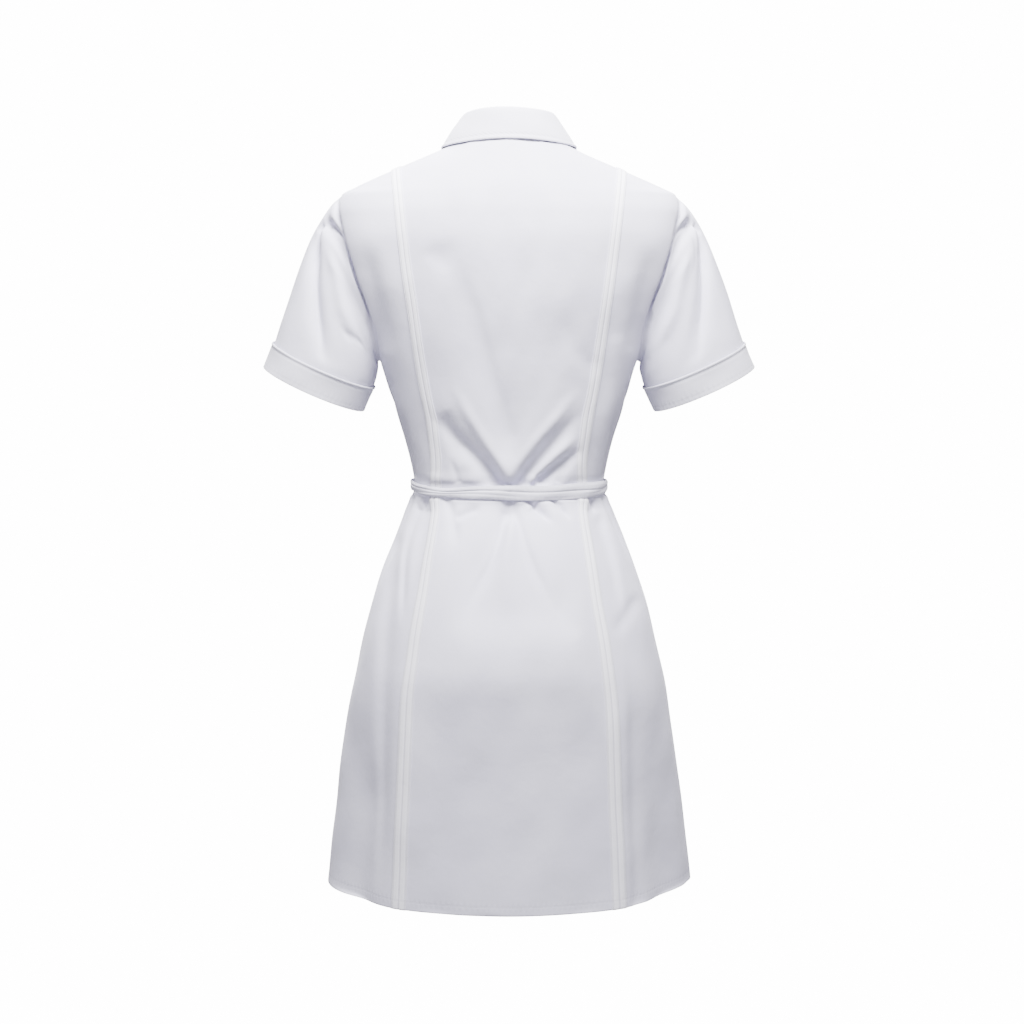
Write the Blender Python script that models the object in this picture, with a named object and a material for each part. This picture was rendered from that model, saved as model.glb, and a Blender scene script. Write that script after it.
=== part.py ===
"""A short-sleeved nurse uniform dress with a turned-down collar, turned-up cuffs and a narrow belt.

It is hollow and filled out, as if worn, and each cloth piece that a maker cuts and sews is one solid.
Metres, +Z up. The wearer faces -Y, so the back of the dress faces +Y and the wearer's left is +X.
The origin is the middle of the neck, level with the neck ends of the shoulder seams.

The body of the dress is one surface, worked out from a table of level sections. A point on it has an
angle, 0 at the centre back, 90 at the wearer's left side and 180 at the centre front, and a height.
Each panel is a stretch of that surface between its seams, with a wall inside it.
"""

import math

import bmesh
import bpy
import numpy as np

# Cloth and seams
PANEL_CLOTH = 0.0015
BAND_CLOTH = 0.0012
CUFF_CLOTH = 0.0018
COLLAR_CLOTH = 0.0016
BELT_CLOTH = 0.0018
SEAM_GAP = 0.0003
HALF_GAP = SEAM_GAP / 2

# Heights
HEM = -0.873
WAIST = -0.402
UNDERARM = -0.252
SHOULDER_TIP = -0.058
HEM_RISE_LEFT = 0.0025
HEM_RISE_RIGHT = 0.0045
HEM_RISE_START = -0.60
BACK_NECK_RISE = 0.008
FRONT_NECK_DROP = 0.062
NECK_HALF_WIDTH = 0.068

# Level sections of the body. Squareness 2 is an ellipse, and more is flatter at the back and sides.
# Columns: height, half width, back depth, front depth, squareness
SECTIONS = (
    (-0.8730, 0.2170, 0.1610, 0.1510, 2.10),
    (-0.8000, 0.2087, 0.1575, 0.1475, 2.12),
    (-0.7020, 0.1967, 0.1535, 0.1425, 2.15),
    (-0.6400, 0.1870, 0.1508, 0.1380, 2.18),
    (-0.6120, 0.1812, 0.1492, 0.1352, 2.20),
    (-0.5820, 0.1745, 0.1440, 0.1320, 2.20),
    (-0.5340, 0.1623, 0.1320, 0.1255, 2.20),
    (-0.4860, 0.1466, 0.1150, 0.1165, 2.18),
    (-0.4620, 0.1370, 0.1045, 0.1110, 2.16),
    (-0.4380, 0.1272, 0.0905, 0.1040, 2.15),
    (-0.4200, 0.1200, 0.0775, 0.0968, 2.15),
    (-0.4120, 0.1147, 0.0720, 0.0930, 2.15),
    (-0.3920, 0.1120, 0.0720, 0.0930, 2.15),
    (-0.3800, 0.1138, 0.0740, 0.0952, 2.18),
    (-0.3440, 0.1223, 0.0775, 0.1025, 2.22),
    (-0.2960, 0.1374, 0.0828, 0.1145, 2.30),
    (-0.2520, 0.1505, 0.0868, 0.1235, 2.40),
    (-0.2250, 0.1620, 0.0890, 0.1250, 2.45),
    (-0.1900, 0.1790, 0.0920, 0.1210, 2.50),
    (-0.1500, 0.1950, 0.0952, 0.1110, 2.55),
    (-0.1100, 0.2030, 0.0972, 0.0965, 2.55),
    (-0.0800, 0.2035, 0.0945, 0.0835, 2.40),
    (-0.0580, 0.1955, 0.0890, 0.0732, 2.20),
    (-0.0486, 0.1780, 0.0855, 0.0682, 2.12),
    (-0.0300, 0.1370, 0.0765, 0.0580, 2.08),
    (-0.0069, 0.0835, 0.0645, 0.0455, 2.08),
    (0.0000, 0.0680, 0.0610, 0.0420, 2.10),
    (0.0080, 0.0500, 0.0562, 0.0380, 2.10),
)

# The long back seams and the stitched band that covers each, from the hem to the shoulder
# Columns: height, distance from the centre line, width of the band
BACK_SEAM = (
    (-0.873, 0.1262, 0.0185),
    (-0.799, 0.1232, 0.0180),
    (-0.717, 0.1195, 0.0175),
    (-0.635, 0.1158, 0.0165),
    (-0.582, 0.1098, 0.0155),
    (-0.511, 0.0987, 0.0145),
    (-0.461, 0.0916, 0.0140),
    (-0.411, 0.0855, 0.0135),
    (-0.377, 0.0843, 0.0135),
    (-0.324, 0.0892, 0.0135),
    (-0.281, 0.0970, 0.0130),
    (-0.178, 0.1115, 0.0130),
    (-0.138, 0.1172, 0.0125),
    (-0.060, 0.1262, 0.0120),
    (-0.028, 0.1310, 0.0120),
)

# Largest folds of the body. Each runs from its deep end to its soft end. A negative height is a trough,
# and a positive one is a ridge. Reach is how far it spreads to each side.
# Columns: face, deep end's x and z, soft end's x and z, reach, height
BACK, FRONT = 1, -1
FOLDS = (
    (BACK, 0.006, -0.384, 0.090, -0.292, 0.0120, -0.0060),
    (BACK, -0.012, -0.386, -0.084, -0.300, 0.0120, -0.0060),
    (BACK, -0.036, -0.384, -0.080, -0.346, 0.0090, -0.0045),
    (BACK, 0.002, -0.356, 0.040, -0.290, 0.0150, 0.0035),
    (BACK, 0.002, -0.356, -0.036, -0.290, 0.0150, 0.0035),
    (BACK, 0.003, -0.418, 0.047, -0.512, 0.0110, -0.0045),
    (BACK, -0.010, -0.418, -0.016, -0.462, 0.0090, -0.0025),
    (BACK, -0.030, -0.416, -0.056, -0.438, 0.0080, -0.0030),
    (BACK, 0.098, -0.424, 0.128, -0.600, 0.0130, -0.0060),
    (BACK, -0.100, -0.424, -0.132, -0.590, 0.0130, -0.0050),
    (BACK, 0.160, -0.873, 0.150, -0.560, 0.0280, -0.0070),
    (BACK, -0.163, -0.873, -0.152, -0.560, 0.0280, -0.0080),
    (BACK, 0.070, -0.130, 0.010, -0.300, 0.0160, -0.0025),
    (BACK, 0.152, -0.205, 0.158, -0.120, 0.0130, -0.0040),
    (BACK, -0.152, -0.205, -0.158, -0.120, 0.0130, -0.0040),
    (FRONT, 0.040, -0.380, 0.086, -0.290, 0.0130, -0.0055),
    (FRONT, -0.044, -0.380, -0.090, -0.296, 0.0130, -0.0055),
    (FRONT, 0.058, -0.420, 0.072, -0.520, 0.0120, -0.0050),
    (FRONT, -0.050, -0.420, -0.076, -0.530, 0.0120, -0.0050),
    (FRONT, 0.120, -0.873, 0.110, -0.560, 0.0280, -0.0075),
    (FRONT, -0.124, -0.873, -0.108, -0.560, 0.0280, -0.0070),
)

# How a body fold fades in past its deep end and out past its soft end, as shares of its length, and
# how it fades towards the belt and the side seams, in metres
FOLD_FADE_IN = 0.12
FOLD_FADE_OUT = 1.25
FOLD_CLEAR_OF_BELT = 0.010
FOLD_BELT_FADE = 0.012
FOLD_SIDE_FADE = 0.030

# Rows of each panel's wall, from the hem up to the underarm, and their number and shares above it
ROW_HEIGHTS = (
    -0.873, -0.812, -0.750, -0.690, -0.640, -0.600, -0.564, -0.530, -0.500, -0.472, -0.450, -0.432,
    -0.420, -0.412, -0.392, -0.380, -0.366, -0.350, -0.332, -0.312, -0.292, -0.272, -0.252,
)
YOKE_ROWS = 10
BACK_ROW_SHARES = (0.07, 0.18, 0.32, 0.48, 0.63, 0.76, 0.87, 0.94, 0.985, 1.0)
FRONT_ROW_SHARES = (0.06, 0.16, 0.28, 0.41, 0.54, 0.66, 0.77, 0.86, 0.94, 1.0)

# Steps of each panel's top edge along the neck and the shoulder
BACK_NECK_STEPS = 10
FRONT_NECK_STEPS = 8
BACK_CENTRE_SHOULDER_STEPS = 4
SHOULDER_STEPS = 6

# How a wall's four-sided faces are split: diagonals this nearly equal are told apart by height, with
# distance from the centre line counted at this slant
EVEN_SPLIT = 0.06
SPLIT_SLANT = 0.3
SHARP_EDGE = math.radians(40)

# Armholes, as angles either side of the side seam
ARMHOLE_BACK = math.radians(31.5)
ARMHOLE_FRONT = math.radians(34.0)
ARMHOLE_TOP_FULLNESS = 0.85
ARMHOLE_FOOT_FULLNESS = 1.0

# Sleeves and cuffs, given for the wearer's left
CUFF_TOP_CENTRE = np.array((0.2184, -0.008, -0.2550))
SLEEVE_AXIS = np.array((0.405, -0.105, -0.908))
CUFF_HEIGHT = 0.0295
CUFF_LIP = 0.0012
SLEEVE_HALF_WIDTH = 0.0636
SLEEVE_HALF_DEPTH = 0.0520
SLEEVE_RINGS = (0.0, 0.06, 0.14, 0.25, 0.38, 0.53, 0.68, 0.84, 1.0)
CUFF_RINGS = (0.45, 0.96)
CUFF_BAND_RINGS = (0.0, 0.45, 1.0)
SLEEVE_LENGTH = 0.20
HEAD_LIFT = 0.33
FOOT_LIFT = 0.80
HEAD_BOW = 0.0010
CUFF_BOW = 0.0105

# How strongly a sleeve follows the armhole and the cuff, as lengths at its side, with what is added
# at the top of the sleeve and taken off below
ARMHOLE_PULL, ARMHOLE_PULL_TOP, ARMHOLE_PULL_SIDE = 0.024, 0.017, 0.002
CUFF_PULL, CUFF_PULL_TOP = 0.066, 0.044

# The sleeves' largest folds: around is degrees from the shoulder over the back, and along is 0 at the
# armhole and 1 at the cuff.
# Columns: around and along at one end, around and along at the other, reach, height
SLEEVE_FOLDS = (
    (30, 0.24, 77, 0.08, 0.0110, -0.0060),
    (28, 0.40, 92, 0.94, 0.0120, -0.0055),
    (66, 0.30, 112, 0.62, 0.0150, 0.0035),
    (-32, 0.26, -78, 0.08, 0.0110, -0.0060),
    (-26, 0.42, -84, 0.92, 0.0130, -0.0050),
    (-70, 0.34, -112, 0.66, 0.0150, 0.0030),
)
SLEEVE_FOLD_PAST_ENDS = 0.15
SLEEVE_FOLD_FADE_IN = 0.30
SLEEVE_FOLD_FADE_OUT = 0.50
SLEEVE_ARMHOLE_FADE = 0.12
SLEEVE_CUFF_FADE = 0.10

# Collar: a stand round the neck and a leaf that turns down over it
FOLD_HALF_WIDTH = 0.0520
FOLD_BACK = 0.0500
FOLD_FRONT = 0.0640
FOLD_HEIGHT = 0.0375
FOLD_SIDE_DROP = 0.0030
FOLD_CENTRE_SHIFT = 0.004
FOLD_FRONT_DROP = 0.0780
STAND_ROWS = (0.0, 0.35, 0.7, 1.0)
STAND_HOLLOW = 0.0010
LEAF_CLEAR = 0.0030
LEAF_SWELL = 0.0005
# The leaf's outside as it rolls over the fold, as steps out from it and up from it
LEAF_ROLL = ((-0.0012, 0.0023), (0.0008, 0.0027), (0.0026, 0.0016), (0.0036, -0.0010))
LEAF_BACK_HEIGHT = 0.0025
LEAF_SIDE_HEIGHT = -0.0045
LEAF_CONTROL = (0.086, -0.046)
LEAF_POINT = (0.045, -0.104)
LEAF_CROWDING = 1.4
LEAF_ROWS = (0.25, 0.5, 0.75, 1.0)
COLLAR_FRONT_GAP = 0.0015

# Front band, buttons and belt
FRONT_BAND_HALF = 0.0155
BUTTON_RADIUS = 0.0075
BUTTON_THICK = 0.0030
BUTTON_SIDES = 12
# A button's rim, from its foot to its dished face: shares of its radius and of its thickness
BUTTON_PROFILE = ((0.86, 0.0), (1.0, 0.28), (1.0, 0.66), (0.84, 1.0), (0.66, 0.80))
BUTTON_HEIGHTS = (-0.092, -0.176, -0.260, -0.344, -0.460, -0.544, -0.628, -0.712)
# The belt's middle and half its height at the back and front, and what each gains or loses at the sides
BELT_MIDDLE = -0.4015
BELT_SIDE_RISE = 0.0045
BELT_HALF = 0.0087
BELT_SIDE_NARROWER = 0.0027
BELT_CLEAR = 0.0026
BELT_UNDER_END = math.radians(194)
BELT_OVER_END = math.radians(-199)
BELT_STEPS = 62
BELT_LAP_START = math.radians(-150)
BELT_LAP_RISE = math.radians(15)
BELT_TIP = math.radians(5)
BELT_TIP_SHARE = 0.25

WHITE_CLOTH = ("white_cloth", (0.86, 0.86, 0.88), 0.85)
WHITE_TRIM = ("white_trim", (0.88, 0.88, 0.90), 0.80)
BUTTON_WHITE = ("button_white", (0.88, 0.88, 0.87), 0.30)


def table_column(table, column, heights):
    """A smooth curve through one column of a table, which never swings past its rows."""
    x = np.array([row[0] for row in table], float)
    y = np.array([row[column] for row in table], float)
    step = np.diff(x)
    slope = np.diff(y) / step
    left, right = slope[:-1], slope[1:]
    first, second = 2 * step[1:] + step[:-1], step[1:] + 2 * step[:-1]
    same_way = left * right > 0
    safe_left, safe_right = np.where(same_way, left, 1.0), np.where(same_way, right, 1.0)
    middle = np.where(same_way, (first + second) / (first / safe_left + second / safe_right), 0.0)
    tangent = np.concatenate([slope[:1], middle, slope[-1:]])
    h = np.clip(np.asarray(heights, float), x[0], x[-1])
    i = np.clip(np.searchsorted(x, h) - 1, 0, len(x) - 2)
    t = (h - x[i]) / step[i]
    return (
        (1 + 2 * t) * (1 - t) ** 2 * y[i]
        + t * (1 - t) ** 2 * step[i] * tangent[i]
        + t**2 * (3 - 2 * t) * y[i + 1]
        + t**2 * (t - 1) * step[i] * tangent[i + 1]
    )


def section(heights):
    """(half width, back depth, front depth, squareness) of the level sections at these heights."""
    return [table_column(SECTIONS, column, heights) for column in range(1, len(SECTIONS[0]))]


def smooth_step(t):
    t = np.clip(t, 0.0, 1.0)
    return t * t * (3 - 2 * t)


def unit(vectors):
    vectors = np.asarray(vectors, float)
    return vectors / np.linalg.norm(vectors, axis=-1, keepdims=True)


def smooth_body(angle, height):
    """Points of the body's outer surface without its folds."""
    angle, height = np.broadcast_arrays(np.asarray(angle, float), np.asarray(height, float))
    half_width, back, front, square = section(height)
    across, along = np.sin(angle), np.cos(angle)
    round_off = (np.abs(across) ** square + np.abs(along) ** square) ** (-1 / square)
    depth = np.where(along > 0, back, front)
    hem_rise = np.where(across > 0, HEM_RISE_LEFT, HEM_RISE_RIGHT) * across**2
    level = height + hem_rise * smooth_step((HEM_RISE_START - height) / (HEM_RISE_START - HEM))
    return np.stack([half_width * across * round_off, depth * along * round_off, level], axis=-1)


def facing(surface, angle, height, step=2e-4):
    """Outward directions of a surface, from its slopes."""
    up = surface(angle, height + step) - surface(angle, height - step)
    round_the_body = surface(angle + step, height) - surface(angle - step, height)
    return unit(np.cross(up, round_the_body))


def fold_shift(points):
    """How far the folds move points of the body out, or in where it is negative."""
    x, y, z = points[..., 0], points[..., 1], points[..., 2]
    total = np.zeros(x.shape)
    for face, x_deep, z_deep, x_soft, z_soft, reach, height in FOLDS:
        run_x, run_z = x_soft - x_deep, z_soft - z_deep
        length = math.hypot(run_x, run_z)
        along = ((x - x_deep) * run_x + (z - z_deep) * run_z) / length**2
        aside = ((x - x_deep) * run_z - (z - z_deep) * run_x) / length
        fade = smooth_step(along / FOLD_FADE_IN + 1) * smooth_step(1 - along / FOLD_FADE_OUT)
        total += np.where(y * face > 0, height * fade * np.exp(-((aside / reach) ** 2)), 0.0)
    clear_of_belt = smooth_step((np.abs(z - WAIST) - FOLD_CLEAR_OF_BELT) / FOLD_BELT_FADE)
    clear_of_side = smooth_step(np.abs(y) / FOLD_SIDE_FADE)
    return total * clear_of_belt * clear_of_side


def body(angle, height):
    """Points of the body's outer surface."""
    base = smooth_body(angle, height)
    return base + fold_shift(base)[..., None] * facing(smooth_body, np.asarray(angle, float), height)


def body_facing(angle, height):
    return facing(body, np.asarray(angle, float), np.asarray(height, float), 1e-3)


def angle_at(across, height):
    """The angle of the back surface where it is this far from the centre line, at this height."""
    half_width, _, _, square = section(height)
    share = np.clip(np.abs(across) / half_width, 0.0, 1.0) ** square
    return np.arctan2(share ** (1 / square), np.maximum(1 - share, 0.0) ** (1 / square))


def height_on_shoulder(across):
    """The height of the shoulder seam this far from the centre line."""
    low, high = SHOULDER_TIP, BACK_NECK_RISE
    for _ in range(40):
        middle = (low + high) / 2
        if section(middle)[0] > across:
            low = middle
        else:
            high = middle
    return low


# A line of a panel is a list of (angle, height), one for each row from the hem up.


def yoke_share():
    """For the rows above the underarm, 0 at the underarm and 1 at the top."""
    return np.arange(1, YOKE_ROWS + 1) / YOKE_ROWS


def back_line(share_of_band):
    """A line beside a long back seam: 0 is the seam, -1 and 1 are the band's two edges."""
    top = height_on_shoulder(BACK_SEAM[-1][1] + share_of_band * BACK_SEAM[-1][2] / 2)
    heights = np.concatenate([ROW_HEIGHTS, UNDERARM + (top - UNDERARM) * np.array(BACK_ROW_SHARES)])
    across = table_column(BACK_SEAM, 1, heights)
    across = across + share_of_band * table_column(BACK_SEAM, 2, heights) / 2
    angles = angle_at(across, heights)
    angles[-1] = math.pi / 2
    return np.stack([angles, heights], axis=1)


def armhole(around):
    """(angle, height) on the left armhole: 0 at the shoulder, 90 degrees at the back, 180 under the arm."""
    around = np.asarray(around, float)
    middle, half = (SHOULDER_TIP + UNDERARM) / 2, (SHOULDER_TIP - UNDERARM) / 2
    reach = np.where(np.sin(around) > 0, -ARMHOLE_BACK, ARMHOLE_FRONT)
    fullness = np.where(np.cos(around) > 0, ARMHOLE_TOP_FULLNESS, ARMHOLE_FOOT_FULLNESS)
    spread = np.abs(np.sin(around)) ** fullness
    spread = np.where(np.abs(np.sin(around)) < 1e-9, 0.0, spread)
    return np.stack([math.pi / 2 + reach * spread, middle + half * np.cos(around)], axis=-1)


def side_line(face):
    """The side seam and, above it, the back or the front of the armhole."""
    low = np.stack([np.full(len(ROW_HEIGHTS), math.pi / 2), ROW_HEIGHTS], axis=1)
    return np.concatenate([low, armhole(face * math.pi * (1 - yoke_share()))])


def front_line(across):
    """A line on the front, this far from the centre line."""
    rise = (front_neck_height(across) - UNDERARM) * np.array(FRONT_ROW_SHARES)
    heights = np.concatenate([ROW_HEIGHTS, UNDERARM + rise])
    return np.stack([math.pi - angle_at(across, heights), heights], axis=1)


def front_neck_height(across):
    return -FRONT_NECK_DROP * math.sqrt(1 - (across / NECK_HALF_WIDTH) ** 2)


def back_neck(count):
    """(angle, height) along the back neck, from the wearer's left to the right."""
    angle = np.linspace(math.pi / 2, -math.pi / 2, count + 1)
    return np.stack([angle, BACK_NECK_RISE * np.cos(angle) ** 2], axis=1)


def front_neck(count, start_across=0.0):
    """(angle, height) along the left front neck, from near the centre to the shoulder."""
    first = math.sqrt(math.acos(start_across / NECK_HALF_WIDTH) / (math.pi / 2))
    turn = math.pi / 2 * np.linspace(first, 0.0, count + 1) ** 2
    across, height = NECK_HALF_WIDTH * np.cos(turn), -FRONT_NECK_DROP * np.sin(turn)
    angle = math.pi - angle_at(across, height)
    angle[-1] = math.pi / 2
    return np.stack([angle, height], axis=1)


def shoulder(start, end, count):
    """(angle, height) along the left shoulder seam between two heights."""
    heights = np.linspace(start, end, count + 1)
    return np.stack([np.full(count + 1, math.pi / 2), heights], axis=1)


def ruled(first, last, top):
    """A net of (angle, height) between two lines, which takes up the top edge's shape over the yoke."""
    share = np.linspace(0, 1, len(top))[None, :, None]
    net = first[:, None, :] * (1 - share) + last[:, None, :] * share
    lift = np.concatenate([np.zeros(len(ROW_HEIGHTS)), yoke_share() ** 2])[:, None, None]
    straight_top = first[-1] * (1 - share[0]) + last[-1] * share[0]
    return net + lift * (top - straight_top)[None]


def draw_back(edge, neighbour, out):
    """The step that draws a seam edge back by half a seam gap, square to the edge."""
    step = unit(np.cross(out, np.gradient(edge, axis=0)))
    return HALF_GAP * step * np.sign(np.sum(step * (neighbour - edge), axis=1, keepdims=True))


def trimmed(points, out):
    """The net with its seam edges, all but the hem, drawn back by half a seam gap."""
    left = draw_back(points[:, 0], points[:, 1], out[:, 0])
    right = draw_back(points[:, -1], points[:, -2], out[:, -1])
    top = draw_back(points[-1], points[-2], out[-1])
    points = points.copy()
    points[:, 0] += left
    points[:, -1] += right
    points[-1] += top
    return points


def make_object(name, points, triangles, material):
    mesh = bpy.data.meshes.new(name)
    mesh.from_pydata([tuple(p) for p in points], [], [tuple(t) for t in triangles])
    faces = bmesh.new()
    faces.from_mesh(mesh)
    bmesh.ops.recalc_face_normals(faces, faces=faces.faces)
    faces.to_mesh(mesh)
    faces.free()
    mesh.shade_smooth()
    mesh.set_sharp_from_angle(angle=SHARP_EDGE)
    mesh.materials.append(material)
    made = bpy.data.objects.new(name, mesh)
    bpy.context.scene.collection.objects.link(made)
    return made


def wall(name, outside, inside, material, ring=False):
    """A closed wall between two nets of points. A ring's rows join up end to end."""
    rows, columns = outside.shape[:2]
    points = np.concatenate([outside.reshape(-1, 3), inside.reshape(-1, 3)])
    inner = rows * columns
    order = points[:, 2] + SPLIT_SLANT * np.abs(points[:, 0])
    triangles = []

    def quad(a, b, c, d):
        """Two triangles, split along the shorter diagonal, so that pieces that meet are split alike.

        Where the diagonals are as good as equal, the split starts from the lower of a and b."""
        first, second = np.linalg.norm(points[a] - points[c]), np.linalg.norm(points[b] - points[d])
        if abs(first - second) > EVEN_SPLIT * first:
            from_a = first < second
        else:
            from_a = order[a] < order[b]
        if from_a:
            triangles.extend(((a, b, c), (a, c, d)))
        else:
            triangles.extend(((a, b, d), (b, c, d)))

    spans = columns if ring else columns - 1
    for r in range(rows - 1):
        for c in range(spans):
            after = (c + 1) % columns
            a, b = r * columns + c, r * columns + after
            d, e = (r + 1) * columns + c, (r + 1) * columns + after
            quad(a, b, e, d)
            quad(inner + a, inner + b, inner + e, inner + d)
    for c in range(spans):
        after = (c + 1) % columns
        for r in (0, rows - 1):
            a, b = r * columns + c, r * columns + after
            quad(a, b, inner + b, inner + a)
    if not ring:
        for r in range(rows - 1):
            for c in (0, columns - 1):
                a, d = r * columns + c, (r + 1) * columns + c
                quad(a, d, inner + d, inner + a)
    return make_object(name, points, triangles, material)


def make_material(name, colour, roughness):
    material = bpy.data.materials.new(name)
    material.use_nodes = True
    shader = material.node_tree.nodes["Principled BSDF"]
    shader.inputs["Base Color"].default_value = (*colour, 1.0)
    shader.inputs["Roughness"].default_value = roughness
    shader.inputs["Metallic"].default_value = 0.0
    return material


def panel_nets():
    """Each body panel of the wearer's left, and the centre back, as a net of (angle, height)."""
    inner, seam, outer = back_line(-1), back_line(0), back_line(1)
    left_neck = shoulder(inner[-1, 1], 0.0, BACK_CENTRE_SHOULDER_STEPS)
    right_neck = mirror_net(left_neck[::-1])
    top = np.concatenate([left_neck[:-1], back_neck(BACK_NECK_STEPS), right_neck[1:]])
    middle = ruled(inner, mirror_net(inner), top)
    back_centre = np.concatenate([seam[:, None], middle, mirror_net(seam)[:, None]], axis=1)

    side = side_line(BACK)
    back_side = ruled(outer, side, shoulder(outer[-1, 1], SHOULDER_TIP, SHOULDER_STEPS))
    back_side = np.concatenate([seam[:, None], back_side], axis=1)

    edge, centre = front_line(FRONT_BAND_HALF), front_line(0.0)
    neck = front_neck(FRONT_NECK_STEPS, FRONT_BAND_HALF)
    top = np.concatenate([neck[:-1], shoulder(0.0, SHOULDER_TIP, SHOULDER_STEPS)])
    front = ruled(edge, side_line(FRONT), top)
    front = np.concatenate([centre[:, None], front], axis=1)
    return back_centre, back_side, front


def laid_on(net, lift):
    """Points of a net of (angle, height) on the body, moved out along the way that it faces."""
    angle, height = net[..., 0], net[..., 1]
    return body(angle, height) + lift * body_facing(angle, height)


def panel(name, net, material):
    """A panel's wall."""
    out = body_facing(net[..., 0], net[..., 1])
    outside = trimmed(laid_on(net, 0.0), out)
    wall(name, outside, outside - PANEL_CLOTH * out, material)


def mirror_net(net):
    return net * np.array((-1.0, 1.0))


def band(name, net, material):
    """A strip that lies on a panel's own points."""
    lower = laid_on(net, SEAM_GAP)
    wall(name, laid_on(net, SEAM_GAP + BAND_CLOTH), lower, material)


def sleeve_ribs(side, along):
    """Sleeve points for shares of the way from the armhole to the cuff's top edge."""
    line = armhole(np.arange(2 * YOKE_ROWS) * math.pi / YOKE_ROWS)
    if side < 0:
        line = mirror_net(line)
    edge = body(line[:, 0], line[:, 1])
    out = body_facing(line[:, 0], line[:, 1])
    edge_run = np.roll(edge, -1, axis=0) - np.roll(edge, 1, axis=0)
    away = unit(np.cross(edge_run, out))
    away *= np.sign(np.sum(away * (edge.mean(axis=0) - edge), axis=1, keepdims=True))
    start, out, away = between(edge + HALF_GAP * away), between(out), between(away)
    around = sleeve_turns()
    head = np.maximum(np.cos(around), 0.0)[:, None] ** 2
    aside = np.array((side, 0.0, 0.0))
    foot = np.maximum(-np.cos(around), 0.0)[:, None] ** 2
    away = unit(away + (HEAD_LIFT * head + FOOT_LIFT * foot) * aside)
    ring, axis = cuff_ring(side, around, 0.0)
    first_pull = ARMHOLE_PULL + ARMHOLE_PULL_TOP * np.cos(around) + ARMHOLE_PULL_SIDE * np.sin(around) ** 2
    first_pull, last_pull = first_pull[:, None], (CUFF_PULL + CUFF_PULL_TOP * np.cos(around))[:, None]
    near = start + first_pull * away + HEAD_BOW * head * aside
    far = ring - last_pull * axis + CUFF_BOW * head * aside
    t = np.asarray(along)[:, None, None]
    return (1 - t) ** 3 * start + 3 * (1 - t) ** 2 * t * near + 3 * (1 - t) * t**2 * far + t**3 * ring, out


def between(ring):
    """A ring with the middle of each step put in."""
    return np.stack([ring, (ring + np.roll(ring, -1, axis=0)) / 2], axis=1).reshape(-1, 3)


def sleeve_turns():
    """Angles round a sleeve, two for each step of the armhole."""
    return np.arange(4 * YOKE_ROWS) * math.pi / (2 * YOKE_ROWS)


def cuff_ring(side, around, below):
    """The sleeve's end ring, this far below the cuff's top edge, and the sleeve's axis."""
    axis = unit(SLEEVE_AXIS)
    width = unit(np.cross((0.0, 1.0, 0.0), axis))
    width = width * np.sign(width[0])
    depth = unit(np.cross(axis, width))
    depth = depth * np.sign(depth[1])
    across = SLEEVE_HALF_WIDTH * np.cos(around)[:, None] * width
    through = SLEEVE_HALF_DEPTH * np.sin(around)[:, None] * depth
    ring = CUFF_TOP_CENTRE + across + through + below * axis
    flip = np.array((side, 1.0, 1.0))
    return ring * flip, axis * flip


def sleeve_fold_shift(around, along):
    """How far the sleeve's folds move its points out. Lengths are measured over the sleeve."""
    total = np.zeros(np.broadcast(around, along).shape)
    radius = (SLEEVE_HALF_WIDTH + SLEEVE_HALF_DEPTH) / 2
    turn = (around + math.pi) % (2 * math.pi) - math.pi
    x, y = radius * turn, SLEEVE_LENGTH * along
    for around_1, along_1, around_2, along_2, reach, height in SLEEVE_FOLDS:
        x1, x2 = radius * math.radians(around_1), radius * math.radians(around_2)
        y1, y2 = SLEEVE_LENGTH * along_1, SLEEVE_LENGTH * along_2
        size = math.hypot(x2 - x1, y2 - y1)
        share = ((x - x1) * (x2 - x1) + (y - y1) * (y2 - y1)) / size**2
        aside = ((x - x1) * (y2 - y1) - (y - y1) * (x2 - x1)) / size
        past_ends = SLEEVE_FOLD_PAST_ENDS
        fade = smooth_step((share + past_ends) / SLEEVE_FOLD_FADE_IN)
        fade = fade * smooth_step((1 + past_ends - share) / SLEEVE_FOLD_FADE_OUT)
        total = total + height * fade * np.exp(-((aside / reach) ** 2))
    return total


def ring_facing(points):
    """Outward directions of a tube of rings, from its neighbours."""
    around = np.roll(points, -1, axis=1) - np.roll(points, 1, axis=1)
    along = np.gradient(points, axis=0)
    out = unit(np.cross(along, around))
    centre = points.mean(axis=1, keepdims=True)
    middle = len(points) // 2
    side = np.sign(np.sum(out[middle] * (points[middle] - centre[middle])))
    return out * side


def make_sleeve(side, word, cloth, trim):
    around = sleeve_turns()
    ribs, start_out = sleeve_ribs(side, SLEEVE_RINGS)
    out = ring_facing(ribs)
    along = np.asarray(SLEEVE_RINGS)[:, None]
    ends_fade = smooth_step(along / SLEEVE_ARMHOLE_FADE) * smooth_step((1 - along) / SLEEVE_CUFF_FADE)
    shift = sleeve_fold_shift(around[None, :], along) * ends_fade
    ribs = ribs + shift[..., None] * out
    ends = [cuff_ring(side, around, share * CUFF_HEIGHT)[0] for share in CUFF_RINGS]
    outside = np.concatenate([ribs, np.stack(ends)])
    out = ring_facing(outside)
    out[0] = start_out
    wall(f"sleeve_{word}", outside, outside - PANEL_CLOTH * out, cloth, ring=True)

    rings = [cuff_ring(side, around, share * (CUFF_HEIGHT + CUFF_LIP))[0] for share in CUFF_BAND_RINGS]
    tube = np.stack(rings)
    out = ring_facing(tube)
    wall(f"cuff_{word}", tube + (SEAM_GAP + CUFF_CLOTH) * out, tube + SEAM_GAP * out, trim, ring=True)


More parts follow.
